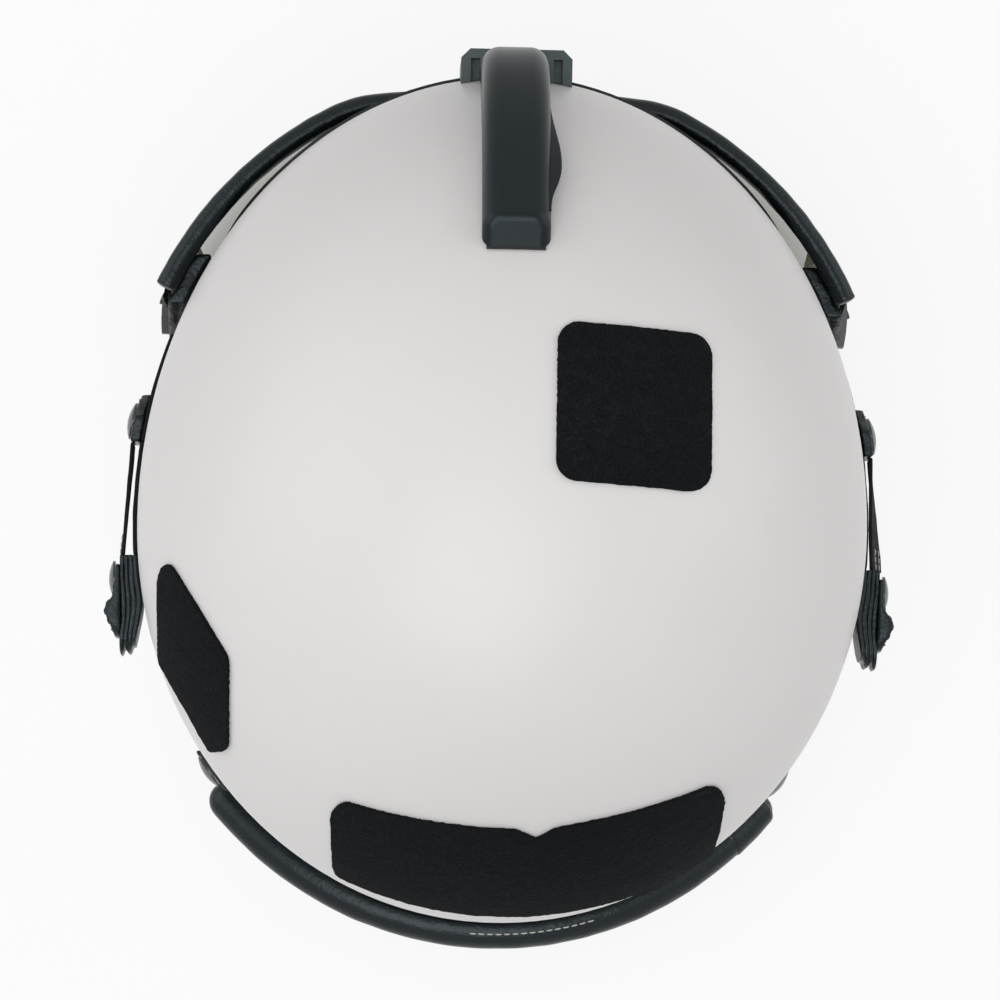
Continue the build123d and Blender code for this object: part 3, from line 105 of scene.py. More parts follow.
def make_camera():
    """A camera above the crown whose picture has the brow at the top."""
    side = math.sin(math.radians(CAMERA_ROLL))
    rear = math.sin(math.radians(CAMERA_PITCH))
    back = Vector((side, rear, math.sqrt(1 - side**2 - rear**2)))
    brow = Vector((math.sin(math.radians(CAMERA_YAW)), -math.cos(math.radians(CAMERA_YAW)), 0))
    right = brow.cross(back).normalized()
    up = back.cross(right)
    made = bpy.data.objects.new("camera", bpy.data.cameras.new("camera"))
    made.data.lens = CAMERA_LENS
    made.data.clip_end = CAMERA_FAR
    made.rotation_mode = "QUATERNION"
    made.rotation_quaternion = Matrix((right, up, back)).transposed().to_quaternion()
    made.location = dome + back * CAMERA_DISTANCE + right * CAMERA_RIGHT + up * CAMERA_UP
    bpy.context.scene.collection.objects.link(made)
    bpy.context.scene.camera = made
    return made


camera = make_camera()
print("camera at", [round(c, 3) for c in camera.location])

# %% [markdown]
# ## Light, floor and background
# A catalogue picture is lit by wide, soft lamps. One large lamp hangs high behind the crown and two
# weaker ones stand at the sides. The floor looks almost white to the camera, yet keeps the shadow: its
# material mixes a plain surface with a glow that only camera, mirror and glass rays see, so no extra
# light falls on the helmet.

# %% The sizes and strengths of the lights
LAMP_SIZE = 1.9
LAMP_POWER = 32.5
TOP_LAMP_PLACE = (0.35, 0.7, 2.3)
SIDE_LAMP_SHARE = 0.42
SIDE_LAMP_REACH = 1.9
SIDE_LAMP_AHEAD = 0.6
SIDE_LAMP_HEIGHT = 1.0
ROOM_LIGHT = 0.34
FLOOR_SIZE = 12.0
FLOOR_TONE = 0.8
FLOOR_GLOW_SHARE = 0.86


def add_lamp(name, place, power):
    """A square lamp that points at the dome's centre."""
    lamp = bpy.data.objects.new(name, bpy.data.lights.new(name, "AREA"))
    lamp.data.size = LAMP_SIZE
    lamp.data.energy = power
    lamp.location = place
    lamp.rotation_mode = "QUATERNION"
    lamp.rotation_quaternion = (Vector(place) - dome).to_track_quat("Z", "Y")
    bpy.context.scene.collection.objects.link(lamp)


def seen_ray(tree):
    """A value that is 1 for rays that see the background: camera, mirror and glass rays."""
    path = tree.nodes.new("ShaderNodeLightPath")
    total = path.outputs["Is Camera Ray"]
    for kind in ("Is Glossy Ray", "Is Transmission Ray"):
        more = tree.nodes.new("ShaderNodeMath")
        more.operation = "MAXIMUM"
        tree.links.new(total, more.inputs[0])
        tree.links.new(path.outputs[kind], more.inputs[1])
        total = more.outputs[0]
    return total


# %% The floor
def make_floor():
    """A wide floor with a plain pale surface that glows for the rays that see it."""
    mesh = bpy.data.meshes.new("floor")
    half = FLOOR_SIZE / 2
    corners = [(-half, -half, 0), (half, -half, 0), (half, half, 0), (-half, half, 0)]
    mesh.from_pydata(corners, [], [(0, 1, 2, 3)])
    made = bpy.data.objects.new("floor", mesh)
    bpy.context.scene.collection.objects.link(made)
    finish = bpy.data.materials.new("floor_paper")
    finish.use_nodes = True
    tree = finish.node_tree
    plain = tree.nodes["Principled BSDF"]
    plain.inputs["Base Color"].default_value = (FLOOR_TONE, FLOOR_TONE, FLOOR_TONE, 1)
    plain.inputs["Roughness"].default_value = 1.0
    plain.inputs["Specular IOR Level"].default_value = 0.0
    glow = tree.nodes.new("ShaderNodeEmission")
    glow.inputs["Strength"].default_value = 1.0
    share = tree.nodes.new("ShaderNodeMath")
    share.operation = "MULTIPLY"
    share.inputs[1].default_value = FLOOR_GLOW_SHARE
    mix = tree.nodes.new("ShaderNodeMixShader")
    tree.links.new(seen_ray(tree), share.inputs[0])
    tree.links.new(share.outputs[0], mix.inputs[0])
    tree.links.new(plain.outputs[0], mix.inputs[1])
    tree.links.new(glow.outputs[0], mix.inputs[2])
    tree.links.new(mix.outputs[0], tree.nodes["Material Output"].inputs["Surface"])
    mesh.materials.append(finish)


# %% The room and its lamps
def make_world():
    """A grey room that looks white to the rays that see it."""
    world = bpy.data.worlds.new("room")
    world.use_nodes = True
    tree = world.node_tree
    room = tree.nodes["Background"]
    room.inputs["Color"].default_value = (1, 1, 1, 1)
    level = tree.nodes.new("ShaderNodeMapRange")
    level.inputs["To Min"].default_value = ROOM_LIGHT
    tree.links.new(seen_ray(tree), level.inputs["Value"])
    tree.links.new(level.outputs[0], room.inputs["Strength"])
    bpy.context.scene.world = world


make_floor()
make_world()
add_lamp("top_lamp", TOP_LAMP_PLACE, LAMP_POWER)
for side in (-1, 1):
    side_lamp_place = (side * SIDE_LAMP_REACH, -SIDE_LAMP_AHEAD, SIDE_LAMP_HEIGHT)
    add_lamp("side_lamp", side_lamp_place, LAMP_POWER * SIDE_LAMP_SHARE)
bpy.context.scene.view_settings.view_transform = "Standard"

# %% [markdown]
# ## Shared surface effects
# Several finishes need the same small effects: the pebbles of leather, the crossing threads of webbing,
# the curled pile of loop fabric and slow drifts of tone. Each is a node group with named inputs and
# outputs, so one drawing serves every material at its own scale. The groups work on the object's own
# coordinates in metres, so a scale of 1000 means one cell in each millimetre, and no unwrapping is
# needed.

# %% Node group helpers
PER_MM = 1000.0


def new_group(name, inputs, outputs):
    """An empty shader group with float inputs and outputs; returns the group and its two end nodes."""
    group = bpy.data.node_groups.new(name, "ShaderNodeTree")
    for label, value in inputs.items():
        socket = group.interface.new_socket(name=label, in_out="INPUT", socket_type="NodeSocketFloat")
        socket.default_value = value
    for label in outputs:
        group.interface.new_socket(name=label, in_out="OUTPUT", socket_type="NodeSocketFloat")
    return group, group.nodes.new("NodeGroupInput"), group.nodes.new("NodeGroupOutput")


def math_node(tree, kind, *values, clamp=False):
    """The output of a Math node whose inputs are numbers or the outputs of other nodes."""
    node = tree.nodes.new("ShaderNodeMath")
    node.operation = kind
    node.use_clamp = clamp
    for socket, value in zip(node.inputs, values):
        if isinstance(value, (int, float)):
            socket.default_value = value
        else:
            tree.links.new(value, socket)
    return node.outputs[0]


def texture(tree, kind, scale, **settings):
    """A texture node on the object's own coordinates, with its scale linked or set."""
    place = tree.nodes.new("ShaderNodeTexCoord")
    node = tree.nodes.new(kind)
    tree.links.new(place.outputs["Object"], node.inputs["Vector"])
    if isinstance(scale, (int, float)):
        node.inputs["Scale"].default_value = scale
    else:
        tree.links.new(scale, node.inputs["Scale"])
    for label, value in settings.items():
        if hasattr(node, label):
            setattr(node, label, value)
        else:
            node.inputs[label.replace("_", " ").title()].default_value = value
    return node


# %% Leather grain and loop pile
FOLD_SCALE_SHARE = 0.3
FOLD_HEIGHT_SHARE = 0.7
CLUMP_SCALE_SHARE = 0.22


def make_grain():
    """Pebbled leather: raised cells with creases between them, and a mask of the creases."""
    group, start, end = new_group("leather_grain", {"Scale": 900.0}, ("Height", "Creases"))
    cells = texture(group, "ShaderNodeTexVoronoi", start.outputs["Scale"], feature="SMOOTH_F1")
    wide = math_node(group, "MULTIPLY", start.outputs["Scale"], FOLD_SCALE_SHARE)
    folds = texture(group, "ShaderNodeTexNoise", wide, detail=4.0)
    pebble = math_node(group, "SUBTRACT", 1.0, cells.outputs["Distance"])
    height = math_node(group, "MULTIPLY_ADD", folds.outputs["Fac"], FOLD_HEIGHT_SHARE, pebble)
    group.links.new(height, end.inputs["Height"])
    crease = math_node(group, "POWER", cells.outputs["Distance"], 2.0, clamp=True)
    group.links.new(crease, end.inputs["Creases"])
    return group


def make_pile():
    """Loop fabric: small curls in clumps, and a mask of the paler curls."""
    group, start, end = new_group("loop_pile", {"Scale": 1300.0}, ("Height", "Curls"))
    curls = texture(group, "ShaderNodeTexVoronoi", start.outputs["Scale"], feature="F1")
    wide = math_node(group, "MULTIPLY", start.outputs["Scale"], CLUMP_SCALE_SHARE)
    clumps = texture(group, "ShaderNodeTexNoise", wide, detail=5.0)
    height = math_node(group, "ADD", curls.outputs["Distance"], clumps.outputs["Fac"])
    group.links.new(height, end.inputs["Height"])
    pale = math_node(group, "MULTIPLY", curls.outputs["Distance"], clumps.outputs["Fac"], clamp=True)
    group.links.new(pale, end.inputs["Curls"])
    return group


# %% Weave and drift
def make_weave():
    """Webbing: two crossing sets of threads, and a mask of the valleys between them."""
    group, start, end = new_group("webbing", {"Scale": 500.0}, ("Height", "Valleys"))
    bands = []
    for direction in ("Y", "Z"):
        band = texture(group, "ShaderNodeTexWave", start.outputs["Scale"], bands_direction=direction)
        bands.append(band.outputs["Fac"])
    crossed = math_node(group, "MAXIMUM", bands[0], bands[1])
    group.links.new(crossed, end.inputs["Height"])
    group.links.new(math_node(group, "SUBTRACT", 1.0, crossed), end.inputs["Valleys"])
    return group


def make_drift():
    """Slow drifts of tone, from 0 to 1, for handling marks and uneven gloss."""
    group, start, end = new_group("tone_drift", {"Scale": 20.0}, ("Drift",))
    slow = texture(group, "ShaderNodeTexNoise", start.outputs["Scale"], detail=3.0)
    group.links.new(slow.outputs["Fac"], end.inputs["Drift"])
    return group


groups = {"grain": make_grain(), "pile": make_pile(), "weave": make_weave(), "drift": make_drift()}
print("groups:", sorted(groups))

# %% [markdown]
# ## Building a finish
# Every finish is one Principled shader. What is the same all over is set on the shader itself. What
# varies comes from a group: one output bends the normal through a Bump node, another moves the colour
# between two near tones, and the slow drift moves the roughness.

# %% The finish builder
DRIFT_SCALE = 25.0
finishes = {}


def add_finish(name, dark, light, rough, effect, scale, depth, spread=0.08, **shader_values):
    """A finish whose colour runs from dark to light by an effect's mask, with that effect's bump."""
    finish = bpy.data.materials.new(name)
    finish.use_nodes = True
    tree = finish.node_tree
    shader = tree.nodes["Principled BSDF"]
    for label, value in shader_values.items():
        shader.inputs[label.replace("_", " ")].default_value = value
    detail = tree.nodes.new("ShaderNodeGroup")
    detail.node_tree = groups[effect]
    detail.inputs["Scale"].default_value = scale
    slow = tree.nodes.new("ShaderNodeGroup")
    slow.node_tree = groups["drift"]
    slow.inputs["Scale"].default_value = DRIFT_SCALE
    blend = tree.nodes.new("ShaderNodeMix")
    blend.data_type = "RGBA"
    blend.inputs["A"].default_value = (*dark, 1)
    blend.inputs["B"].default_value = (*light, 1)
    share = math_node(tree, "MULTIPLY", detail.outputs[-1], slow.outputs[0], clamp=True)
    tree.links.new(share, blend.inputs["Factor"])
    tree.links.new(blend.outputs["Result"], shader.inputs["Base Color"])
    level = tree.nodes.new("ShaderNodeMapRange")
    level.inputs["To Min"].default_value = rough - spread
    level.inputs["To Max"].default_value = rough + spread
    tree.links.new(slow.outputs[0], level.inputs["Value"])
    tree.links.new(level.outputs[0], shader.inputs["Roughness"])
    bump = tree.nodes.new("ShaderNodeBump")
    bump.inputs["Distance"].default_value = depth
    tree.links.new(detail.outputs[0], bump.inputs["Height"])
    tree.links.new(bump.outputs[0], shader.inputs["Normal"])
    finishes[name] = finish


# %% [markdown]
# ## The finishes of this helmet
# The shell is satin off-white paint over a moulded shell. The mount is black moulding, the shoe is dull
# slate-grey metal, the patches are loop fabric, and the rolls, tabs and straps are black leather, whose
# gloss is slightly cool. Inside there are a foam liner, brushed pad covers, soft seal skins and moulded
# ear cups.

# %% Paint, mouldings, metal and lens
COOL_GLOSS = (0.8, 0.94, 1.0, 1.0)
add_finish(
    "shell_paint", dark=(0.69, 0.675, 0.67), light=(0.745, 0.725, 0.72), rough=0.4,
    effect="drift", scale=9.0, depth=0.02 * MM, Specular_IOR_Level=0.4,
)
add_finish(
    "mount_moulding", dark=(0.005, 0.0075, 0.0085), light=(0.013, 0.019, 0.021), rough=0.3,
    effect="grain", scale=3.5 * PER_MM, depth=0.012 * MM,
    Specular_IOR_Level=0.22, Specular_Tint=COOL_GLOSS,
)
add_finish(
    "shoe_metal", dark=(0.032, 0.045, 0.05), light=(0.056, 0.074, 0.079), rough=0.4,
    effect="drift", scale=60.0, depth=0.02 * MM, Metallic=0.3,
)
add_finish(
    "gasket_rubber", dark=(0.012, 0.012, 0.012), light=(0.03, 0.03, 0.03), rough=0.7,
    effect="grain", scale=1.5 * PER_MM, depth=0.03 * MM,
)
add_finish(
    "steel", dark=(0.5, 0.5, 0.5), light=(0.62, 0.61, 0.6), rough=0.3,
    effect="drift", scale=90.0, depth=0.01 * MM, Metallic=1.0,
)
add_finish(
    "stud_black", dark=(0.008, 0.010, 0.012), light=(0.022, 0.025, 0.028), rough=0.3,
    effect="drift", scale=80.0, depth=0.01 * MM, Coat_Weight=0.3, Coat_Roughness=0.2,
)
add_finish(
    "lens_tint", dark=(0.11, 0.11, 0.08), light=(0.14, 0.14, 0.10), rough=0.02, spread=0.01,
    effect="drift", scale=6.0, depth=0.001 * MM, Transmission_Weight=1.0, IOR=1.5,
)

# %% Leather, loop fabric, webbing and thread
add_finish(
    "beading", dark=(0.004, 0.0048, 0.0052), light=(0.014, 0.016, 0.017), rough=0.5,
    effect="grain", scale=1.1 * PER_MM, depth=0.06 * MM, Specular_IOR_Level=0.3,
)
add_finish(
    "roll_leather", dark=(0.003, 0.0042, 0.0048), light=(0.009, 0.0125, 0.0135), rough=0.3,
    effect="grain", scale=0.95 * PER_MM, depth=0.1 * MM,
    Specular_IOR_Level=0.29, Specular_Tint=COOL_GLOSS,
)
add_finish(
    "loop_fabric", dark=(0.004, 0.0048, 0.0055), light=(0.03, 0.033, 0.035), rough=0.9,
    effect="pile", scale=1.3 * PER_MM, depth=0.5 * MM, Specular_IOR_Level=0.06,
)
add_finish(
    "elastic_web", dark=(0.005, 0.0055, 0.006), light=(0.02, 0.022, 0.024), rough=0.8,
    effect="weave", scale=0.55 * PER_MM, depth=0.15 * MM, Specular_IOR_Level=0.15,
)
add_finish(
    "thread_white", dark=(0.55, 0.54, 0.5), light=(0.75, 0.74, 0.7), rough=0.8,
    effect="weave", scale=3.0 * PER_MM, depth=0.05 * MM,
)
add_finish(
    "thread_black", dark=(0.02, 0.02, 0.02), light=(0.06, 0.06, 0.06), rough=0.75,
    effect="weave", scale=3.0 * PER_MM, depth=0.05 * MM,
)

# %% The inside of the helmet
add_finish(
    "liner_foam", dark=(0.02, 0.02, 0.021), light=(0.09, 0.09, 0.092), rough=0.8,
    effect="pile", scale=0.35 * PER_MM, depth=0.3 * MM,
)
add_finish(
    "pad_cover", dark=(0.022, 0.023, 0.024), light=(0.08, 0.082, 0.085), rough=0.85,
    effect="pile", scale=2.2 * PER_MM, depth=0.12 * MM, Sheen_Weight=0.3, Sheen_Roughness=0.5,
)
add_finish(
    "cup_moulding", dark=(0.03, 0.03, 0.03), light=(0.06, 0.06, 0.06), rough=0.5,
    effect="grain", scale=2.5 * PER_MM, depth=0.03 * MM,
)
add_finish(
    "speaker_can", dark=(0.06, 0.06, 0.06), light=(0.1, 0.1, 0.1), rough=0.4,
    effect="drift", scale=70.0, depth=0.01 * MM, Metallic=0.6,
)
add_finish(
    "cup_foam", dark=(0.03, 0.03, 0.031), light=(0.11, 0.11, 0.11), rough=0.95,
    effect="pile", scale=0.9 * PER_MM, depth=0.5 * MM,
)
add_finish(
    "seal_skin", dark=(0.012, 0.012, 0.013), light=(0.05, 0.05, 0.052), rough=0.45,
    effect="grain", scale=1.3 * PER_MM, depth=0.07 * MM, Coat_Weight=0.08, Coat_Roughness=0.4,
)

# %% Dress the rigid pieces
slots = {part["node"]: part["material_slot"] for part in frame["record"]["subparts"]}
for node, slot in slots.items():
    for place in nodes[node].material_slots:
        place.material = finishes[slot]
print("finishes:", len(finishes), "nodes dressed:", len(slots))

# %% [markdown]
# ## Tools for soft pieces
# Leather, cloth and foam have no hard edges. There are three ways here to get them. A **tube** is swept
# along a line with its own radius at each point, for rolls. A **regrown** piece is remeshed from its
# plain solid into even small faces and relaxed, which rounds every edge. A **cushion** is regrown and
# then blown up by the cloth solver. Remeshing is chosen over a bevel because it also works on curved
# skins whose faces are uneven.

# %% Linking, ripples and normals
def link(name, mesh, slot, body, *stands_for, finish=None):
    """A smooth piece with a finish, on a body, in the place of CAD nodes."""
    piece = bpy.data.objects.new(name, mesh)
    bpy.context.scene.collection.objects.link(piece)
    mesh.materials.clear()
    mesh.materials.append(finish or finishes[slot])
    mesh.polygons.foreach_set("use_smooth", [True] * len(mesh.polygons))
    if body:
        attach(piece, body)
    if stands_for:
        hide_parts(*stands_for)
    return piece


def corners_of(mesh):
    return np.array([v.co for v in mesh.vertices], float).reshape(-1, 3)


def set_corners(mesh, places):
    mesh.vertices.foreach_set("co", places.astype(np.float32).ravel())
    mesh.update()


def normals_of(mesh):
    found = np.empty(len(mesh.vertices) * 3, np.float32)
    mesh.vertex_normals.foreach_get("vector", found)
    return found.reshape(-1, 3).astype(float)


def ripple(places, size, seed, waves=7):
    """Smooth noise between about -1 and 1 at each place, with bumps about size wide."""
    chance = np.random.default_rng(seed)
    total = np.zeros(len(places))
    for _ in range(waves):
        way = chance.normal(size=3)
        way *= 2 * math.pi / (size * np.linalg.norm(way) * chance.uniform(0.8, 1.6))
        total += np.sin(places @ way + chance.uniform(0, 2 * math.pi))
    return total / math.sqrt(waves)


def rippled(mesh, size, height, seed):
    """Pushes the surface in and out by a smooth noise."""
    places = corners_of(mesh)
    set_corners(mesh, places + normals_of(mesh) * (ripple(places, size, seed) * height)[:, None])
    return mesh


def shaped(mesh, change):
    """Moves every corner by a rule that takes x, y and z as arrays and returns the new ones."""
    set_corners(mesh, np.stack(change(*corners_of(mesh).T), 1))


def hump(along, middle, before, after):
    """A smooth hump of height 1 that falls off at its own rate on each side of the middle."""
    return np.exp(-(((along - middle) / np.where(along < middle, before, after)) ** 2))


def ramp(along, start, end):
    """Rises from 0 at start to 1 at end, with soft ends."""
    share = np.clip((along - start) / (end - start), 0, 1)
    return share * share * (3 - 2 * share)


# %% Tubes
ALMOST_CLOSED_SHARE = 0.985


def quarter(steps):
    """Angles that round off an end, from just past flat to almost closed."""
    return [math.pi / 2 * n / steps * ALMOST_CLOSED_SHARE for n in range(1, steps + 1)]


def tube_mesh(name, points, radii, sides, up=(0, 0, 1), cap=6, bulge=1.0):
    """A round bar swept along points; its ends bulge by a share of its radius."""
    path = np.array(points, float)
    along = np.gradient(path, axis=0)
    along /= np.linalg.norm(along, axis=1)[:, None]
    across = np.cross(along, up)
    across /= np.linalg.norm(across, axis=1)[:, None]
    over = np.cross(across, along)
    radii = np.broadcast_to(np.asarray(radii, float), (len(path),))
    start, end = along[0] * radii[0] * bulge, along[-1] * radii[-1] * bulge
    last = len(path) - 1
    rings = [(path[0] - start * math.sin(t), radii[0] * math.cos(t), 0) for t in quarter(cap)[::-1]]
    rings += [(path[n], radii[n], n) for n in range(len(path))]
    rings += [(path[last] + end * math.sin(t), radii[last] * math.cos(t), last) for t in quarter(cap)]
    angles = np.linspace(0, 2 * math.pi, sides, endpoint=False)
    cosines, sines = np.cos(angles)[:, None], np.sin(angles)[:, None]
    places = [centre + radius * (cosines * across[n] + sines * over[n]) for centre, radius, n in rings]
    places = np.concatenate(places)
    faces = [tuple(range(sides))[::-1], tuple(range(len(places) - sides, len(places)))]
    for ring in range(len(rings) - 1):
        for n in range(sides):
            a, b = ring * sides + n, ring * sides + (n + 1) % sides
            faces.append((a, b, b + sides, a + sides))
    mesh = bpy.data.meshes.new(name)
    mesh.from_pydata(places.tolist(), [], faces)
    mesh.update()
    tidy = bmesh.new()
    tidy.from_mesh(mesh)
    bmesh.ops.recalc_face_normals(tidy, faces=tidy.faces)
    tidy.to_mesh(mesh)
    tidy.free()
    return mesh


# %% Regrown pieces
WELD_DISTANCE = 0.002 * MM
RELAX_FACTOR = 0.5


def welded(node):
    """A CAD node's faces, joined where their corners meet."""
    weld = bmesh.new()
    weld.from_mesh(nodes[node].data)
    bmesh.ops.remove_doubles(weld, verts=weld.verts, dist=WELD_DISTANCE)
    return weld


def loose_parts(node):
    """The separate solids of a CAD node, each as a welded mesh."""
    weld = welded(node)
    left, parts = set(weld.faces), []
    for first in weld.faces:
        if first not in left:
            continue
        left.discard(first)
        group, edge = set(), [first]
        while edge:
            face = edge.pop()
            group.add(face)
            near = {other for v in face.verts for other in v.link_faces} & left
            left -= near
            edge += near
        part = weld.copy()
        part.faces.ensure_lookup_table()
        keep = {face.index for face in group}
        bmesh.ops.delete(part, geom=[f for f in part.faces if f.index not in keep], context="FACES")
        mesh = bpy.data.meshes.new(node)
        part.to_mesh(mesh)
        part.free()
        parts.append(mesh)
    weld.free()
    return parts


def regrown_part(source, voxel, relax):
    """One closed mesh in even small faces, relaxed so that its edges are round."""
    holder = bpy.data.objects.new("holder", source)
    bpy.context.scene.collection.objects.link(holder)
    grow = holder.modifiers.new("grow", "REMESH")
    grow.mode = "VOXEL"
    grow.voxel_size = voxel
    soft = holder.modifiers.new("relax", "SMOOTH")
    soft.factor = RELAX_FACTOR
    soft.iterations = relax
    solved = holder.evaluated_get(bpy.context.evaluated_depsgraph_get())
    mesh = bpy.data.meshes.new_from_object(solved)
    bpy.data.objects.remove(holder)
    return mesh


def regrown(node, voxel, relax):
    """All solids of a CAD node, each regrown by itself, as one mesh."""
    whole = bmesh.new()
    for part in loose_parts(node):
        whole.from_mesh(regrown_part(part, voxel, relax))
    mesh = bpy.data.meshes.new(node)
    whole.to_mesh(mesh)
    whole.free()
    return mesh


# %% How fine, round and uneven each kind of soft piece is
HANDS = ("left", "right")
SOFT_KINDS = {
    "side_strap": dict(voxel=0.5 * MM, relax=3, wave=11 * MM, depth=0.08 * MM, seed=20),
    "visor_pad": dict(voxel=0.6 * MM, relax=6, wave=9 * MM, depth=0.12 * MM, seed=24),
    "front_tab": dict(voxel=0.5 * MM, relax=7, wave=7 * MM, depth=0.12 * MM, seed=30),
    "rear_tabs": dict(voxel=0.33 * MM, relax=2, wave=12 * MM, depth=0.04 * MM, seed=34),
    "pull_tab": dict(voxel=0.33 * MM, relax=3, wave=9 * MM, depth=0.06 * MM, seed=38),
    "nape_tab": dict(voxel=0.42 * MM, relax=3, wave=8 * MM, depth=0.06 * MM, seed=42),
    "elastic": dict(voxel=0.42 * MM, relax=2, wave=8 * MM, depth=0.06 * MM, seed=46),
    "ear_seal": dict(voxel=1.6 * MM, relax=6, wave=16 * MM, depth=0.2 * MM, seed=50),
    "cup_foam": dict(voxel=1.2 * MM, relax=2, wave=6 * MM, depth=0.1 * MM, seed=52),
    "cup_spacer": dict(voxel=0.9 * MM, relax=2, wave=6 * MM, depth=0.08 * MM, seed=54),
    "chin_strap": dict(voxel=0.55 * MM, relax=2, wave=14 * MM, depth=0.06 * MM, seed=58),
}


def soft_mesh(node, kind, hand, change=None, swell=0.0):
    """A node regrown as its kind asks; it may swell and be bent before it is made slightly uneven."""
    made = SOFT_KINDS[kind]
    mesh = regrown(node, made["voxel"], made["relax"])
    set_corners(mesh, corners_of(mesh) + normals_of(mesh) * swell)
    if change:
        shaped(mesh, change)
    return rippled(mesh, made["wave"], made["depth"], made["seed"] + HANDS.index(hand))


def soft_piece(kind, hand, body, change=None, swell=0.0):
    """A soft piece for one side, in its node's finish and place."""
    node = f"{kind}_{hand}"
    return link(node + "_soft", soft_mesh(node, kind, hand, change, swell), slots[node], body, node)


# %% Cushions by the cloth solver
CUSHION_FRAMES = 20
CUSHION_VOXEL = 3.4 * MM
CUSHION_RELAX = 3
CUSHION_PRESSURE = 4.0
CUSHION_START = 1.1 * MM


def cushion(node, body, limit):
    """A pad that starts a little small, is blown up by the cloth solver and keeps inside a limit."""
    mesh = regrown(node, CUSHION_VOXEL, CUSHION_RELAX)
    set_corners(mesh, corners_of(mesh) - normals_of(mesh) * CUSHION_START)
    start = corners_of(mesh)
    holder = bpy.data.objects.new("holder", mesh)
    bpy.context.scene.collection.objects.link(holder)
    cloth = holder.modifiers.new("cloth", "CLOTH")
    cloth.settings.use_pressure = True
    cloth.settings.uniform_pressure_force = CUSHION_PRESSURE
    cloth.settings.effector_weights.gravity = 0
    cloth.point_cache.frame_end = CUSHION_FRAMES
    for number in range(1, CUSHION_FRAMES + 1):
        bpy.context.scene.frame_set(number)
    solved = holder.evaluated_get(bpy.context.evaluated_depsgraph_get())
    mesh = bpy.data.meshes.new_from_object(solved)
    bpy.data.objects.remove(holder)
    move = corners_of(mesh) - start
    reach = np.maximum(np.linalg.norm(move, axis=1), 1e-9)
    set_corners(mesh, start + move * np.minimum(1.0, limit / reach)[:, None])
    bpy.context.scene.frame_set(1)
    piece = link(node + "_cushion", mesh, slots[node], None, node)
    finer = piece.modifiers.new("finer", "SUBSURF")
    finer.levels = finer.render_levels = 1
    fine = piece.evaluated_get(bpy.context.evaluated_depsgraph_get())
    piece.data = bpy.data.meshes.new_from_object(fine)
    piece.modifiers.clear()
    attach(piece, body)
    return piece


# %% [markdown]
# ## Stitches
# A seam reads from a step away only if its stitches stand up and catch the light. Each stitch is a short
# thread with round ends. A row is laid by casting rays at the finished piece, so that it lies on the
# leather however that bulges.

# %% One stitch
STITCH_LENGTH = 2.3 * MM
STITCH_GAP = 0.9 * MM
STITCH_PITCH = STITCH_LENGTH + STITCH_GAP
STITCH_RADIUS = 0.28 * MM
STITCH_RINGS = 5
STITCH_SIDES = 6
STITCH_END_SHARE = 0.06
STITCH_LIFT_SHARE = 0.75
STITCH_DIP_SHARE = 0.55


def add_stitch(places, faces, hit, along, normal):
    """Adds a thread that stands up in the middle and dips into the leather at its round ends."""
    side = normal.cross(along)
    first = len(places)
    for ring in range(STITCH_RINGS):
        t = ring / (STITCH_RINGS - 1) * 2 - 1
        girth = STITCH_RADIUS * math.sqrt(max(STITCH_END_SHARE, 1 - t**4))
        lift = STITCH_RADIUS * (STITCH_LIFT_SHARE - STITCH_DIP_SHARE * t**4)
        middle = hit + along * (t * STITCH_LENGTH / 2) + normal * lift
        for n in range(STITCH_SIDES):
            turn = 2 * math.pi * n / STITCH_SIDES
            places.append(middle + (side * math.cos(turn) + normal * math.sin(turn)) * girth)
    last = first + (STITCH_RINGS - 1) * STITCH_SIDES
    faces.append(tuple(range(first, first + STITCH_SIDES))[::-1])
    faces.append(tuple(range(last, last + STITCH_SIDES)))
    for ring in range(first, last, STITCH_SIDES):
        for n in range(STITCH_SIDES):
            a, b = ring + n, ring + (n + 1) % STITCH_SIDES
            faces.append((a, b, b + STITCH_SIDES, a + STITCH_SIDES))


# %% Rows of stitches
def even_places(points, pitch):
    """Places at an even pitch along a broken line, as (place, direction)."""
    path = np.array(points, float)
    run = np.concatenate([[0], np.cumsum(np.linalg.norm(np.diff(path, axis=0), axis=1))])
    marks = np.arange(pitch / 2, run[-1], pitch)
    found = np.stack([np.interp(marks, run, path[:, k]) for k in range(3)], 1)
    ahead = np.stack([np.interp(marks + pitch / 10, run, path[:, k]) for k in range(3)], 1)
    behind = np.stack([np.interp(marks - pitch / 10, run, path[:, k]) for k in range(3)], 1)
    return found, ahead - behind


def stitch_row(
    name, piece, points, toward, body, thread="thread_black", slot="roll_leather", pitch=STITCH_PITCH
):
    """Stitches cast onto a piece from points, along one way or the way that a rule gives for each place."""
    tree = BVHTree.FromObject(piece, bpy.context.evaluated_depsgraph_get())
    to_piece = piece.matrix_world.inverted()
    found, ways = even_places(points, pitch)
    places, faces = [], []
    for place, way in zip(found, ways):
        cast = Vector(toward(place) if callable(toward) else toward).normalized()
        hit, normal, _, _ = tree.ray_cast(to_piece @ Vector(place), cast)
        if hit is not None:
            along = Vector(way)
            along = (along - normal * along.dot(normal)).normalized()
            add_stitch(places, faces, hit, along, normal)
    mesh = bpy.data.meshes.new(name)
    mesh.from_pydata([tuple(p) for p in places], [], faces)
    mesh.update()
    return link(name, mesh, slot, body, finish=finishes[thread])


# %% [markdown]
# ## The loop patches
# Three pieces of black loop fabric are glued to the shell. Scissors cut such a patch square to its face,
# so only the glued side of the solid is taken, and it is thickened square to the shell. Close up, the
# fabric is a thick pile of tiny curls with an uneven cut edge: the patch is regrown in faces about half a
# millimetre wide and pushed in and out by two sizes of noise, so that the pile has a real silhouette; the
# material adds the curls.

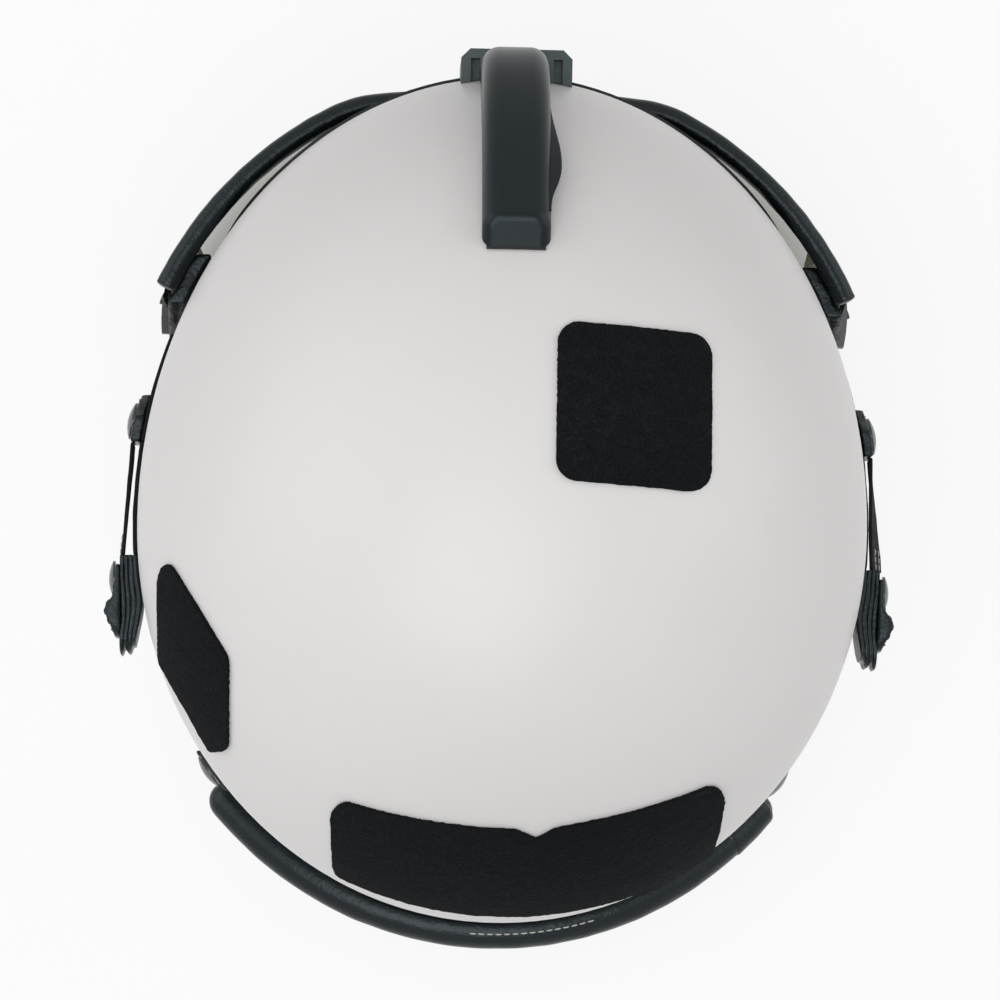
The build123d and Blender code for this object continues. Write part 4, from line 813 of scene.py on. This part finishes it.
# %% Cut a patch square to the shell
GLUED_FACE_DOT = -0.95


def cut_patch(node):
    """The glued side of a patch, thickened square to the shell, as a closed mesh."""
    shell = BVHTree.FromObject(nodes["outer_shell"], bpy.context.evaluated_depsgraph_get())
    weld = welded(node)
    weld.normal_update()
    height = max(shell.find_nearest(v.co)[3] for v in weld.verts)
    glued = []
    for face in weld.faces:
        _, outward, _, _ = shell.find_nearest(face.calc_center_median())
        if face.normal.dot(outward) < GLUED_FACE_DOT:
            glued.append(face)
    within = set(glued)
    numbers, lower, upper = {}, [], []
    for face in glued:
        for v in face.verts:
            if v not in numbers:
                numbers[v] = len(numbers)
                _, normal, _, distance = shell.find_nearest(v.co)
                lower.append(v.co.copy())
                upper.append(v.co + normal * (height - distance))
    count = len(lower)
    faces = []
    for face in glued:
        ring = [numbers[v] for v in face.verts]
        faces.append(ring)
        faces.append([n + count for n in reversed(ring)])
        for loop in face.loops:
            if sum(f in within for f in loop.edge.link_faces) == 1:
                a, b = numbers[loop.vert], numbers[loop.link_loop_next.vert]
                faces.append([b, a, a + count, b + count])
    mesh = bpy.data.meshes.new(node)
    mesh.from_pydata([tuple(c) for c in lower + upper], [], faces)
    mesh.update()
    weld.free()
    return mesh


# %% Grow the patches
PATCH_VOXELS = {"crown_patch": 0.42 * MM, "side_patch": 0.42 * MM, "rear_patch": 0.54 * MM}
PATCH_RELAX = 3
PILE_DEPTH = 0.05 * MM
FINE_PILE_WAVE = 2.2 * MM
WIDE_PILE_WAVE = 9.0 * MM
WIDE_PILE_SEED = 10
for seed, (node, voxel) in enumerate(PATCH_VOXELS.items()):
    patch = regrown_part(cut_patch(node), voxel, PATCH_RELAX)
    rippled(patch, FINE_PILE_WAVE, PILE_DEPTH, seed)
    rippled(patch, WIDE_PILE_WAVE, PILE_DEPTH, seed + WIDE_PILE_SEED)
    piece = link(node + "_pile", patch, slots[node], "helmet", node)
    print(piece.name, len(patch.polygons), "faces")

# %% [markdown]
# ## The visor's padded roll
# A stuffed leather tube runs along the visor's top edge and keeps it from scratching the shell. In plan
# it follows the lens: a shallow arc in front, a tight arc at each brow corner and a long arc down each
# side. The same arcs are drawn here by the angle of their normal. Leather drawn round a bend puckers on
# the inside, so the radius breathes a little along the roll.

# %% The puckers of stuffed leather
PUCKER_SHARE = 0.008
CREASE_SHARE = 0.006


def run_along(path):
    """How far along a line each of its points lies."""
    return np.cumsum([0] + [(b - a).length for a, b in zip(path, path[1:])])


def breathing(run, short, wide, crease):
    """How a roll's girth comes and goes along its run, about 1, from three lengths of wave."""
    pucker = PUCKER_SHARE * np.sin(run / short) * np.sin(run / wide)
    return 1 + pucker - CREASE_SHARE * np.abs(np.sin(run / crease))


# %% The line of the lens
LENS_CENTRE_AHEAD = 26.4 * MM
LENS_SIDE_RADIUS = 123.9 * MM
LENS_CORNER_RADIUS = 40.0 * MM
LENS_FRONT_ANGLE = math.radians(6.0)
LENS_CORNER_ANGLE = math.radians(28.0)
roll_low, roll_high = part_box("visor_roll")
roll_level = (roll_low.z + roll_high.z) / 2
roll_radius = (roll_high.z - roll_low.z) / 2


def lens_plan(angle, out=0.0):
    """A point on the lens's top line, by the angle of its normal from straight ahead."""
    turn = abs(angle)
    radius = LENS_CORNER_RADIUS
    x = (LENS_SIDE_RADIUS - LENS_CORNER_RADIUS) * math.sin(LENS_CORNER_ANGLE)
    y = (LENS_SIDE_RADIUS - LENS_CORNER_RADIUS) * math.cos(LENS_CORNER_ANGLE)
    if turn >= LENS_CORNER_ANGLE:
        x, y, radius = 0.0, 0.0, LENS_SIDE_RADIUS
    elif turn < LENS_FRONT_ANGLE:
        bend_x = x + LENS_CORNER_RADIUS * math.sin(LENS_FRONT_ANGLE)
        bend_y = y + LENS_CORNER_RADIUS * math.cos(LENS_FRONT_ANGLE)
        radius = bend_x / math.sin(LENS_FRONT_ANGLE)
        x, y = 0.0, bend_y - radius * math.cos(LENS_FRONT_ANGLE)
    x += (radius + out) * math.sin(turn)
    y += (radius + out) * math.cos(turn)
    return Vector((math.copysign(x, angle), dome.y - LENS_CENTRE_AHEAD - y, roll_level))


# %% Sweep the visor roll
ROLL_GIRTH_SHARE = 0.84
ROLL_END_SHARE = 0.6
ROLL_END_BULGE = 0.3
ROLL_SIDE_STEPS = 90
ROLL_FRONT_STEPS = 160
roll_reach = dome.y - LENS_CENTRE_AHEAD - (roll_high.y - roll_radius * ROLL_END_SHARE)
roll_end = math.acos(roll_reach / LENS_SIDE_RADIUS)
turns = np.concatenate([
    np.linspace(-roll_end, -LENS_CORNER_ANGLE, ROLL_SIDE_STEPS, endpoint=False),
    np.linspace(-LENS_CORNER_ANGLE, LENS_CORNER_ANGLE, ROLL_FRONT_STEPS, endpoint=False),
    np.linspace(LENS_CORNER_ANGLE, roll_end, ROLL_SIDE_STEPS + 1),
])
roll_path = [lens_plan(t, roll_radius * (1 - ROLL_GIRTH_SHARE)) for t in turns]
run = run_along(roll_path)
girth = roll_radius * ROLL_GIRTH_SHARE * breathing(run, short=5.2 * MM, wide=23 * MM, crease=11 * MM)
mesh = tube_mesh("visor_roll_leather", roll_path, girth, sides=40, bulge=ROLL_END_BULGE)
rippled(mesh, size=7 * MM, height=0.045 * MM, seed=3)
visor_roll = link("visor_roll_leather", mesh, "roll_leather", "visor", "visor_roll")
print("visor roll:", round(run[-1] / MM), "mm long")

# %% [markdown]
# ## The nape roll
# The thicker roll round the nape is the same kind of stuffed leather on a ring that slopes down towards
# the rear. Its cover is closed by a seam in white thread close to the middle, and near its end on the
# wearer's right a short second piece of leather laps over it.

# %% The line of the nape roll
SHELL_HALF_WIDTH = 121.0 * MM
SHELL_REAR_REACH = 131.0 * MM
SHELL_TUCK_SHARE = 0.985
NAPE_STANDOFF = 4.2 * MM
NAPE_LEVEL = -58.0 * MM
NAPE_SLOPE = math.radians(21.0)


def nape_point(degrees, out=0.0, up=0.0):
    """A point on the nape roll's line; 0 degrees is straight behind and + is the wearer's left."""
    turn = math.radians(90 - degrees)
    side = SHELL_HALF_WIDTH * SHELL_TUCK_SHARE + NAPE_STANDOFF + out
    rear = SHELL_REAR_REACH * SHELL_TUCK_SHARE + NAPE_STANDOFF + out
    y = rear * math.sin(turn)
    level = NAPE_LEVEL + up - (rear - y) * math.tan(NAPE_SLOPE)
    return dome + Vector((side * math.cos(turn), y, level))


# %% Sweep the nape roll
NAPE_RADIUS = 6.8 * MM
NAPE_GIRTH_SHARE = 0.97
NAPE_HALF_ANGLE = 47.0
NAPE_STEPS = 240
nape_path = [nape_point(d) for d in np.linspace(-NAPE_HALF_ANGLE, NAPE_HALF_ANGLE, NAPE_STEPS)]
run = run_along(nape_path)
girth = NAPE_RADIUS * NAPE_GIRTH_SHARE * breathing(run, short=6.5 * MM, wide=31 * MM, crease=14 * MM)
mesh = tube_mesh("nape_roll_leather", nape_path, girth, sides=48)
rippled(mesh, size=9 * MM, height=0.05 * MM, seed=4)
nape_roll = link("nape_roll_leather", mesh, "roll_leather", "helmet", "nape_roll")
print("nape roll:", round(run[-1] / MM), "mm long")

# %% Lap the cover and sew its seam
LAP_GIRTH_SHARE = 1.03
LAP_START_ANGLE = 41.0
LAP_END_ANGLE = 47.6
LAP_END_BULGE = 0.5
LAP_STEPS = 50
SEAM_START_ANGLE = -16.5
SEAM_END_ANGLE = 3.0
SEAM_OUT = 1.6 * MM
SEAM_CAST_HEIGHT = 20 * MM
SEAM_PITCH = 2.9 * MM
SEAM_STEPS = 40
lap_path = [nape_point(d) for d in np.linspace(-LAP_END_ANGLE, -LAP_START_ANGLE, LAP_STEPS)]
lap = tube_mesh("nape_roll_lap", lap_path, NAPE_RADIUS * LAP_GIRTH_SHARE, sides=48, bulge=LAP_END_BULGE)
rippled(lap, size=8 * MM, height=0.06 * MM, seed=5)
link("nape_roll_lap", lap, "roll_leather", "helmet")
seam_angles = np.linspace(SEAM_START_ANGLE, SEAM_END_ANGLE, SEAM_STEPS)
seam_path = [nape_point(d, out=SEAM_OUT, up=SEAM_CAST_HEIGHT) for d in seam_angles]
seam = stitch_row(
    "nape_seam_thread", nape_roll, seam_path, (0, 0, -1), "helmet", "thread_white", pitch=SEAM_PITCH
)
print("seam:", len(seam.data.polygons), "faces of thread")

# %% [markdown]
# ## Leather tabs and straps
# The visor hangs on elastics between leather tabs. Each tab is two or three skins glued and sewn, so its
# edges are round and its faces uneven. Small solids are regrown finely. Then some are bent as years of
# pulling bend the real ones: the rear stack swells in the middle, waves, and ends in two round lobes; the
# pull tab bulges out behind its stud; the right elastic leans with its upper edge towards the shell.
# These bends are rules on x, y and z.

# %% How worn leather bends
STACK_SWELL_SHARE = 0.26
STACK_SWELL_PLACE_SHARES = (0.42, 0.3, 0.26)
STACK_SWAY = 0.32 * MM
SWAY_START_SHARES = (0.0, 0.3)
STACK_WAVES = 1.35
STACK_PINCH_SHARE = 0.14
STACK_PINCH_PLACE_SHARES = (0.7, 0.95)
LOBE_BEND = 2.2 * MM
LOBE_BEND_SHARES = (0.8, 1.0)
LOBE_SHARES = (0.36, 0.78)
PULL_BULGE = 3.6 * MM
PULL_BULGE_PLACE_SHARES = (0.62, 0.16, 0.26)
PULL_SKIN_SHARES = (0.15, 0.65)
LEAN_GROWTH_SHARES = (-0.3, 1.0)


def side_of(hand):
    """Which way is outward: 1 on the wearer's left, -1 on the right."""
    return 1 if hand == "left" else -1


def reach_of(node):
    """The lowest and highest corner of a piece, and its nearest and farthest distance from the middle."""
    low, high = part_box(node)
    return low, high, *sorted((abs(low.x), abs(high.x)))


def stack_bend(hand):
    """Swells a rear stack in the middle, waves it and rounds its end into two lobes."""
    low, high, inner, outer = reach_of(f"rear_tabs_{hand}")
    lobes = [(outer - inner) * share for share in LOBE_SHARES]

    def change(x, y, z):
        out = side_of(hand) * x - inner
        along = (y - low.y) / (high.y - low.y)
        lobe = np.where(out < sum(lobes) / 2, *lobes)
        far = np.clip((out - lobe) / (lobes[1] - lobes[0]) * 2, -1, 1)
        y = y - LOBE_BEND * far**2 * ramp(along, *LOBE_BEND_SHARES)
        swell = STACK_SWELL_SHARE * (outer - inner - out) * hump(along, *STACK_SWELL_PLACE_SHARES)
        sway = STACK_SWAY * np.sin(along * STACK_WAVES * 2 * math.pi) * ramp(along, *SWAY_START_SHARES)
        pinch = STACK_PINCH_SHARE * (out - lobe) * ramp(along, *STACK_PINCH_PLACE_SHARES)
        return side_of(hand) * (inner + out - swell + sway - pinch), y, z

    return change


def pull_bend(hand):
    """Bulges a pull tab's outer skin out behind its stud; its inner skin stays on the stack."""
    low, high, inner, outer = reach_of(f"pull_tab_{hand}")
    skin_start, skin_end = (inner + share * (outer - inner) for share in PULL_SKIN_SHARES)

    def change(x, y, z):
        along = (y - low.y) / (high.y - low.y)
        skin = ramp(side_of(hand) * x, skin_start, skin_end)
        return x + side_of(hand) * PULL_BULGE * skin * hump(along, *PULL_BULGE_PLACE_SHARES), y, z

    return change


def elastic_lean(node, hand, share):
    """Leans an elastic's upper edge towards the shell, more and more towards the rear."""
    low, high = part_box(node)

    def change(x, y, z):
        along = (y - low.y) / (high.y - low.y)
        lean = (z - (low.z + high.z) / 2) * share * ramp(along, *LEAN_GROWTH_SHARES)
        return x - side_of(hand) * lean, y, z

    return change


# %% Where the stitches of a tab run
EDGE_INSET = 2.4 * MM
CAST_START = 8 * MM


def border(node):
    """A closed line inside the edge of a tab, seen from the side, a little outside the tab."""
    low, high, _, outer = reach_of(node)
    x = math.copysign(outer + CAST_START, low.x)
    front, rear = low.y + EDGE_INSET, high.y - EDGE_INSET
    lower, upper = low.z + EDGE_INSET, high.z - EDGE_INSET
    return [(x, front, lower), (x, rear, lower), (x, rear, upper), (x, front, upper), (x, front, lower)]


def to_the_middle(place):
    """The level way from a place to the upright line through the dome's centre."""
    return dome.x - place[0], dome.y - place[1], 0


# %% Straps, visor pads and leather tabs
LAYER_PRESS = 0.14 * MM
for hand in HANDS:
    inward = (-side_of(hand), 0, 0)
    soft_piece("side_strap", hand, "visor")
    pad = soft_piece("visor_pad", hand, "visor")
    tab = soft_piece("front_tab", hand, "visor")
    stitch_row(f"front_tab_thread_{hand}", tab, border(f"front_tab_{hand}"), inward, "visor")
    soft_piece("rear_tabs", hand, "helmet", stack_bend(hand), LAYER_PRESS)
    pull = soft_piece("pull_tab", hand, "helmet", pull_bend(hand), LAYER_PRESS)
    stitch_row(f"pull_tab_thread_{hand}", pull, border(f"pull_tab_{hand}"), inward, "helmet")
    tab = soft_piece("nape_tab", hand, "helmet")
    stitch_row(f"nape_tab_thread_{hand}", tab, border(f"nape_tab_{hand}"), to_the_middle, "helmet")

# %% Elastics and their white tacks
ELASTIC_LEAN_SHARES = {"left": 0.04, "right": 0.26}
TACK_LEVEL_SHARES = (0.3, 0.7)
TACK_START = 7.5 * MM
TACK_END = 0.6 * MM
TACK_CAST_START = 9 * MM
TACK_PITCH = 2.4 * MM


def tack_threads(band, hand, low, high):
    """Two short rows of white stitches near an elastic's rear end."""
    x = high.x + TACK_CAST_START if hand == "left" else low.x - TACK_CAST_START
    threads = []
    for row, share in enumerate(TACK_LEVEL_SHARES):
        z = low.z + (high.z - low.z) * share
        tack = [(x, high.y - TACK_START, z), (x, high.y - TACK_END, z)]
        threads.append(stitch_row(
            f"elastic_tack_{hand}_{row}", band, tack, (-side_of(hand), 0, 0), None,
            "thread_white", "elastic_web", TACK_PITCH,
        ))
    return threads


for hand in HANDS:
    for layer in ("inner", "outer"):
        node = f"{layer}_elastic_{hand}"
        low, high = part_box(node)
        middle = (low + high) / 2
        share = ELASTIC_LEAN_SHARES[hand] if layer == "outer" else 0.0
        mesh = soft_mesh(node, "elastic", hand, elastic_lean(node, hand, share))
        band = link(node + "_web", mesh, slots[node], None, node)
        threads = tack_threads(band, hand, low, high) if layer == "outer" else []
        for piece in (*threads, band):
            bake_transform(piece)

# %% [markdown]
# ## The release button's spring
# A small wire spring inside the spine pushes the release button out. It is hidden, but it is a real coil
# here, swept as a thin tube along a helix.

# %% Wind the spring
SPRING_TURNS = 4.5
SPRING_WIRE = 0.2 * MM
SPRING_STEPS = 150


low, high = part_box("button_spring")
middle = (low + high) / 2
coil_radius = (high.z - low.z) / 2 - SPRING_WIRE
coil = []
for t in np.linspace(0, 1, SPRING_STEPS):
    turn = 2 * math.pi * SPRING_TURNS * t
    x = low.x + SPRING_WIRE + (high.x - low.x - 2 * SPRING_WIRE) * t
    coil.append((x, middle.y + coil_radius * math.cos(turn), middle.z + coil_radius * math.sin(turn)))
mesh = tube_mesh("button_spring_coil", coil, SPRING_WIRE, sides=8, up=(1, 0, 0), cap=2)
spring = link("button_spring_coil", mesh, slots["button_spring"], "helmet", "button_spring")
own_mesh(spring)

# %% [markdown]
# ## Pads, seals and the chin strap
# Inside the helmet the wearer meets cloth-covered pads, soft ear seals and a chin strap with its pad. The
# pads are blown up by the cloth solver, which crowns their faces and draws in their corners. Rings and
# straps would lose their shape in it, so they are regrown and relaxed.

# %% Blow up the pads
PAD_LIMITS = {
    "crown_pad": 2.2 * MM,
    "brow_pad": 2.0 * MM,
    "rear_pad": 2.0 * MM,
    "nape_pad": 2.4 * MM,
    "chin_pad": 1.6 * MM,
}
for node, limit in PAD_LIMITS.items():
    piece = cushion(node, "helmet", limit)
    print(piece.name, len(piece.data.polygons), "faces")

# %% Seals, foams and straps
for hand in HANDS:
    seal = soft_piece("ear_seal", hand, f"ear_{hand}")
    foam = soft_piece("cup_foam", hand, f"ear_{hand}")
    spacer = soft_piece("cup_spacer", hand, "helmet")
    low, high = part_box(f"cup_spacer_{hand}")
    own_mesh(spacer)
    soft_piece("chin_strap", hand, "helmet")
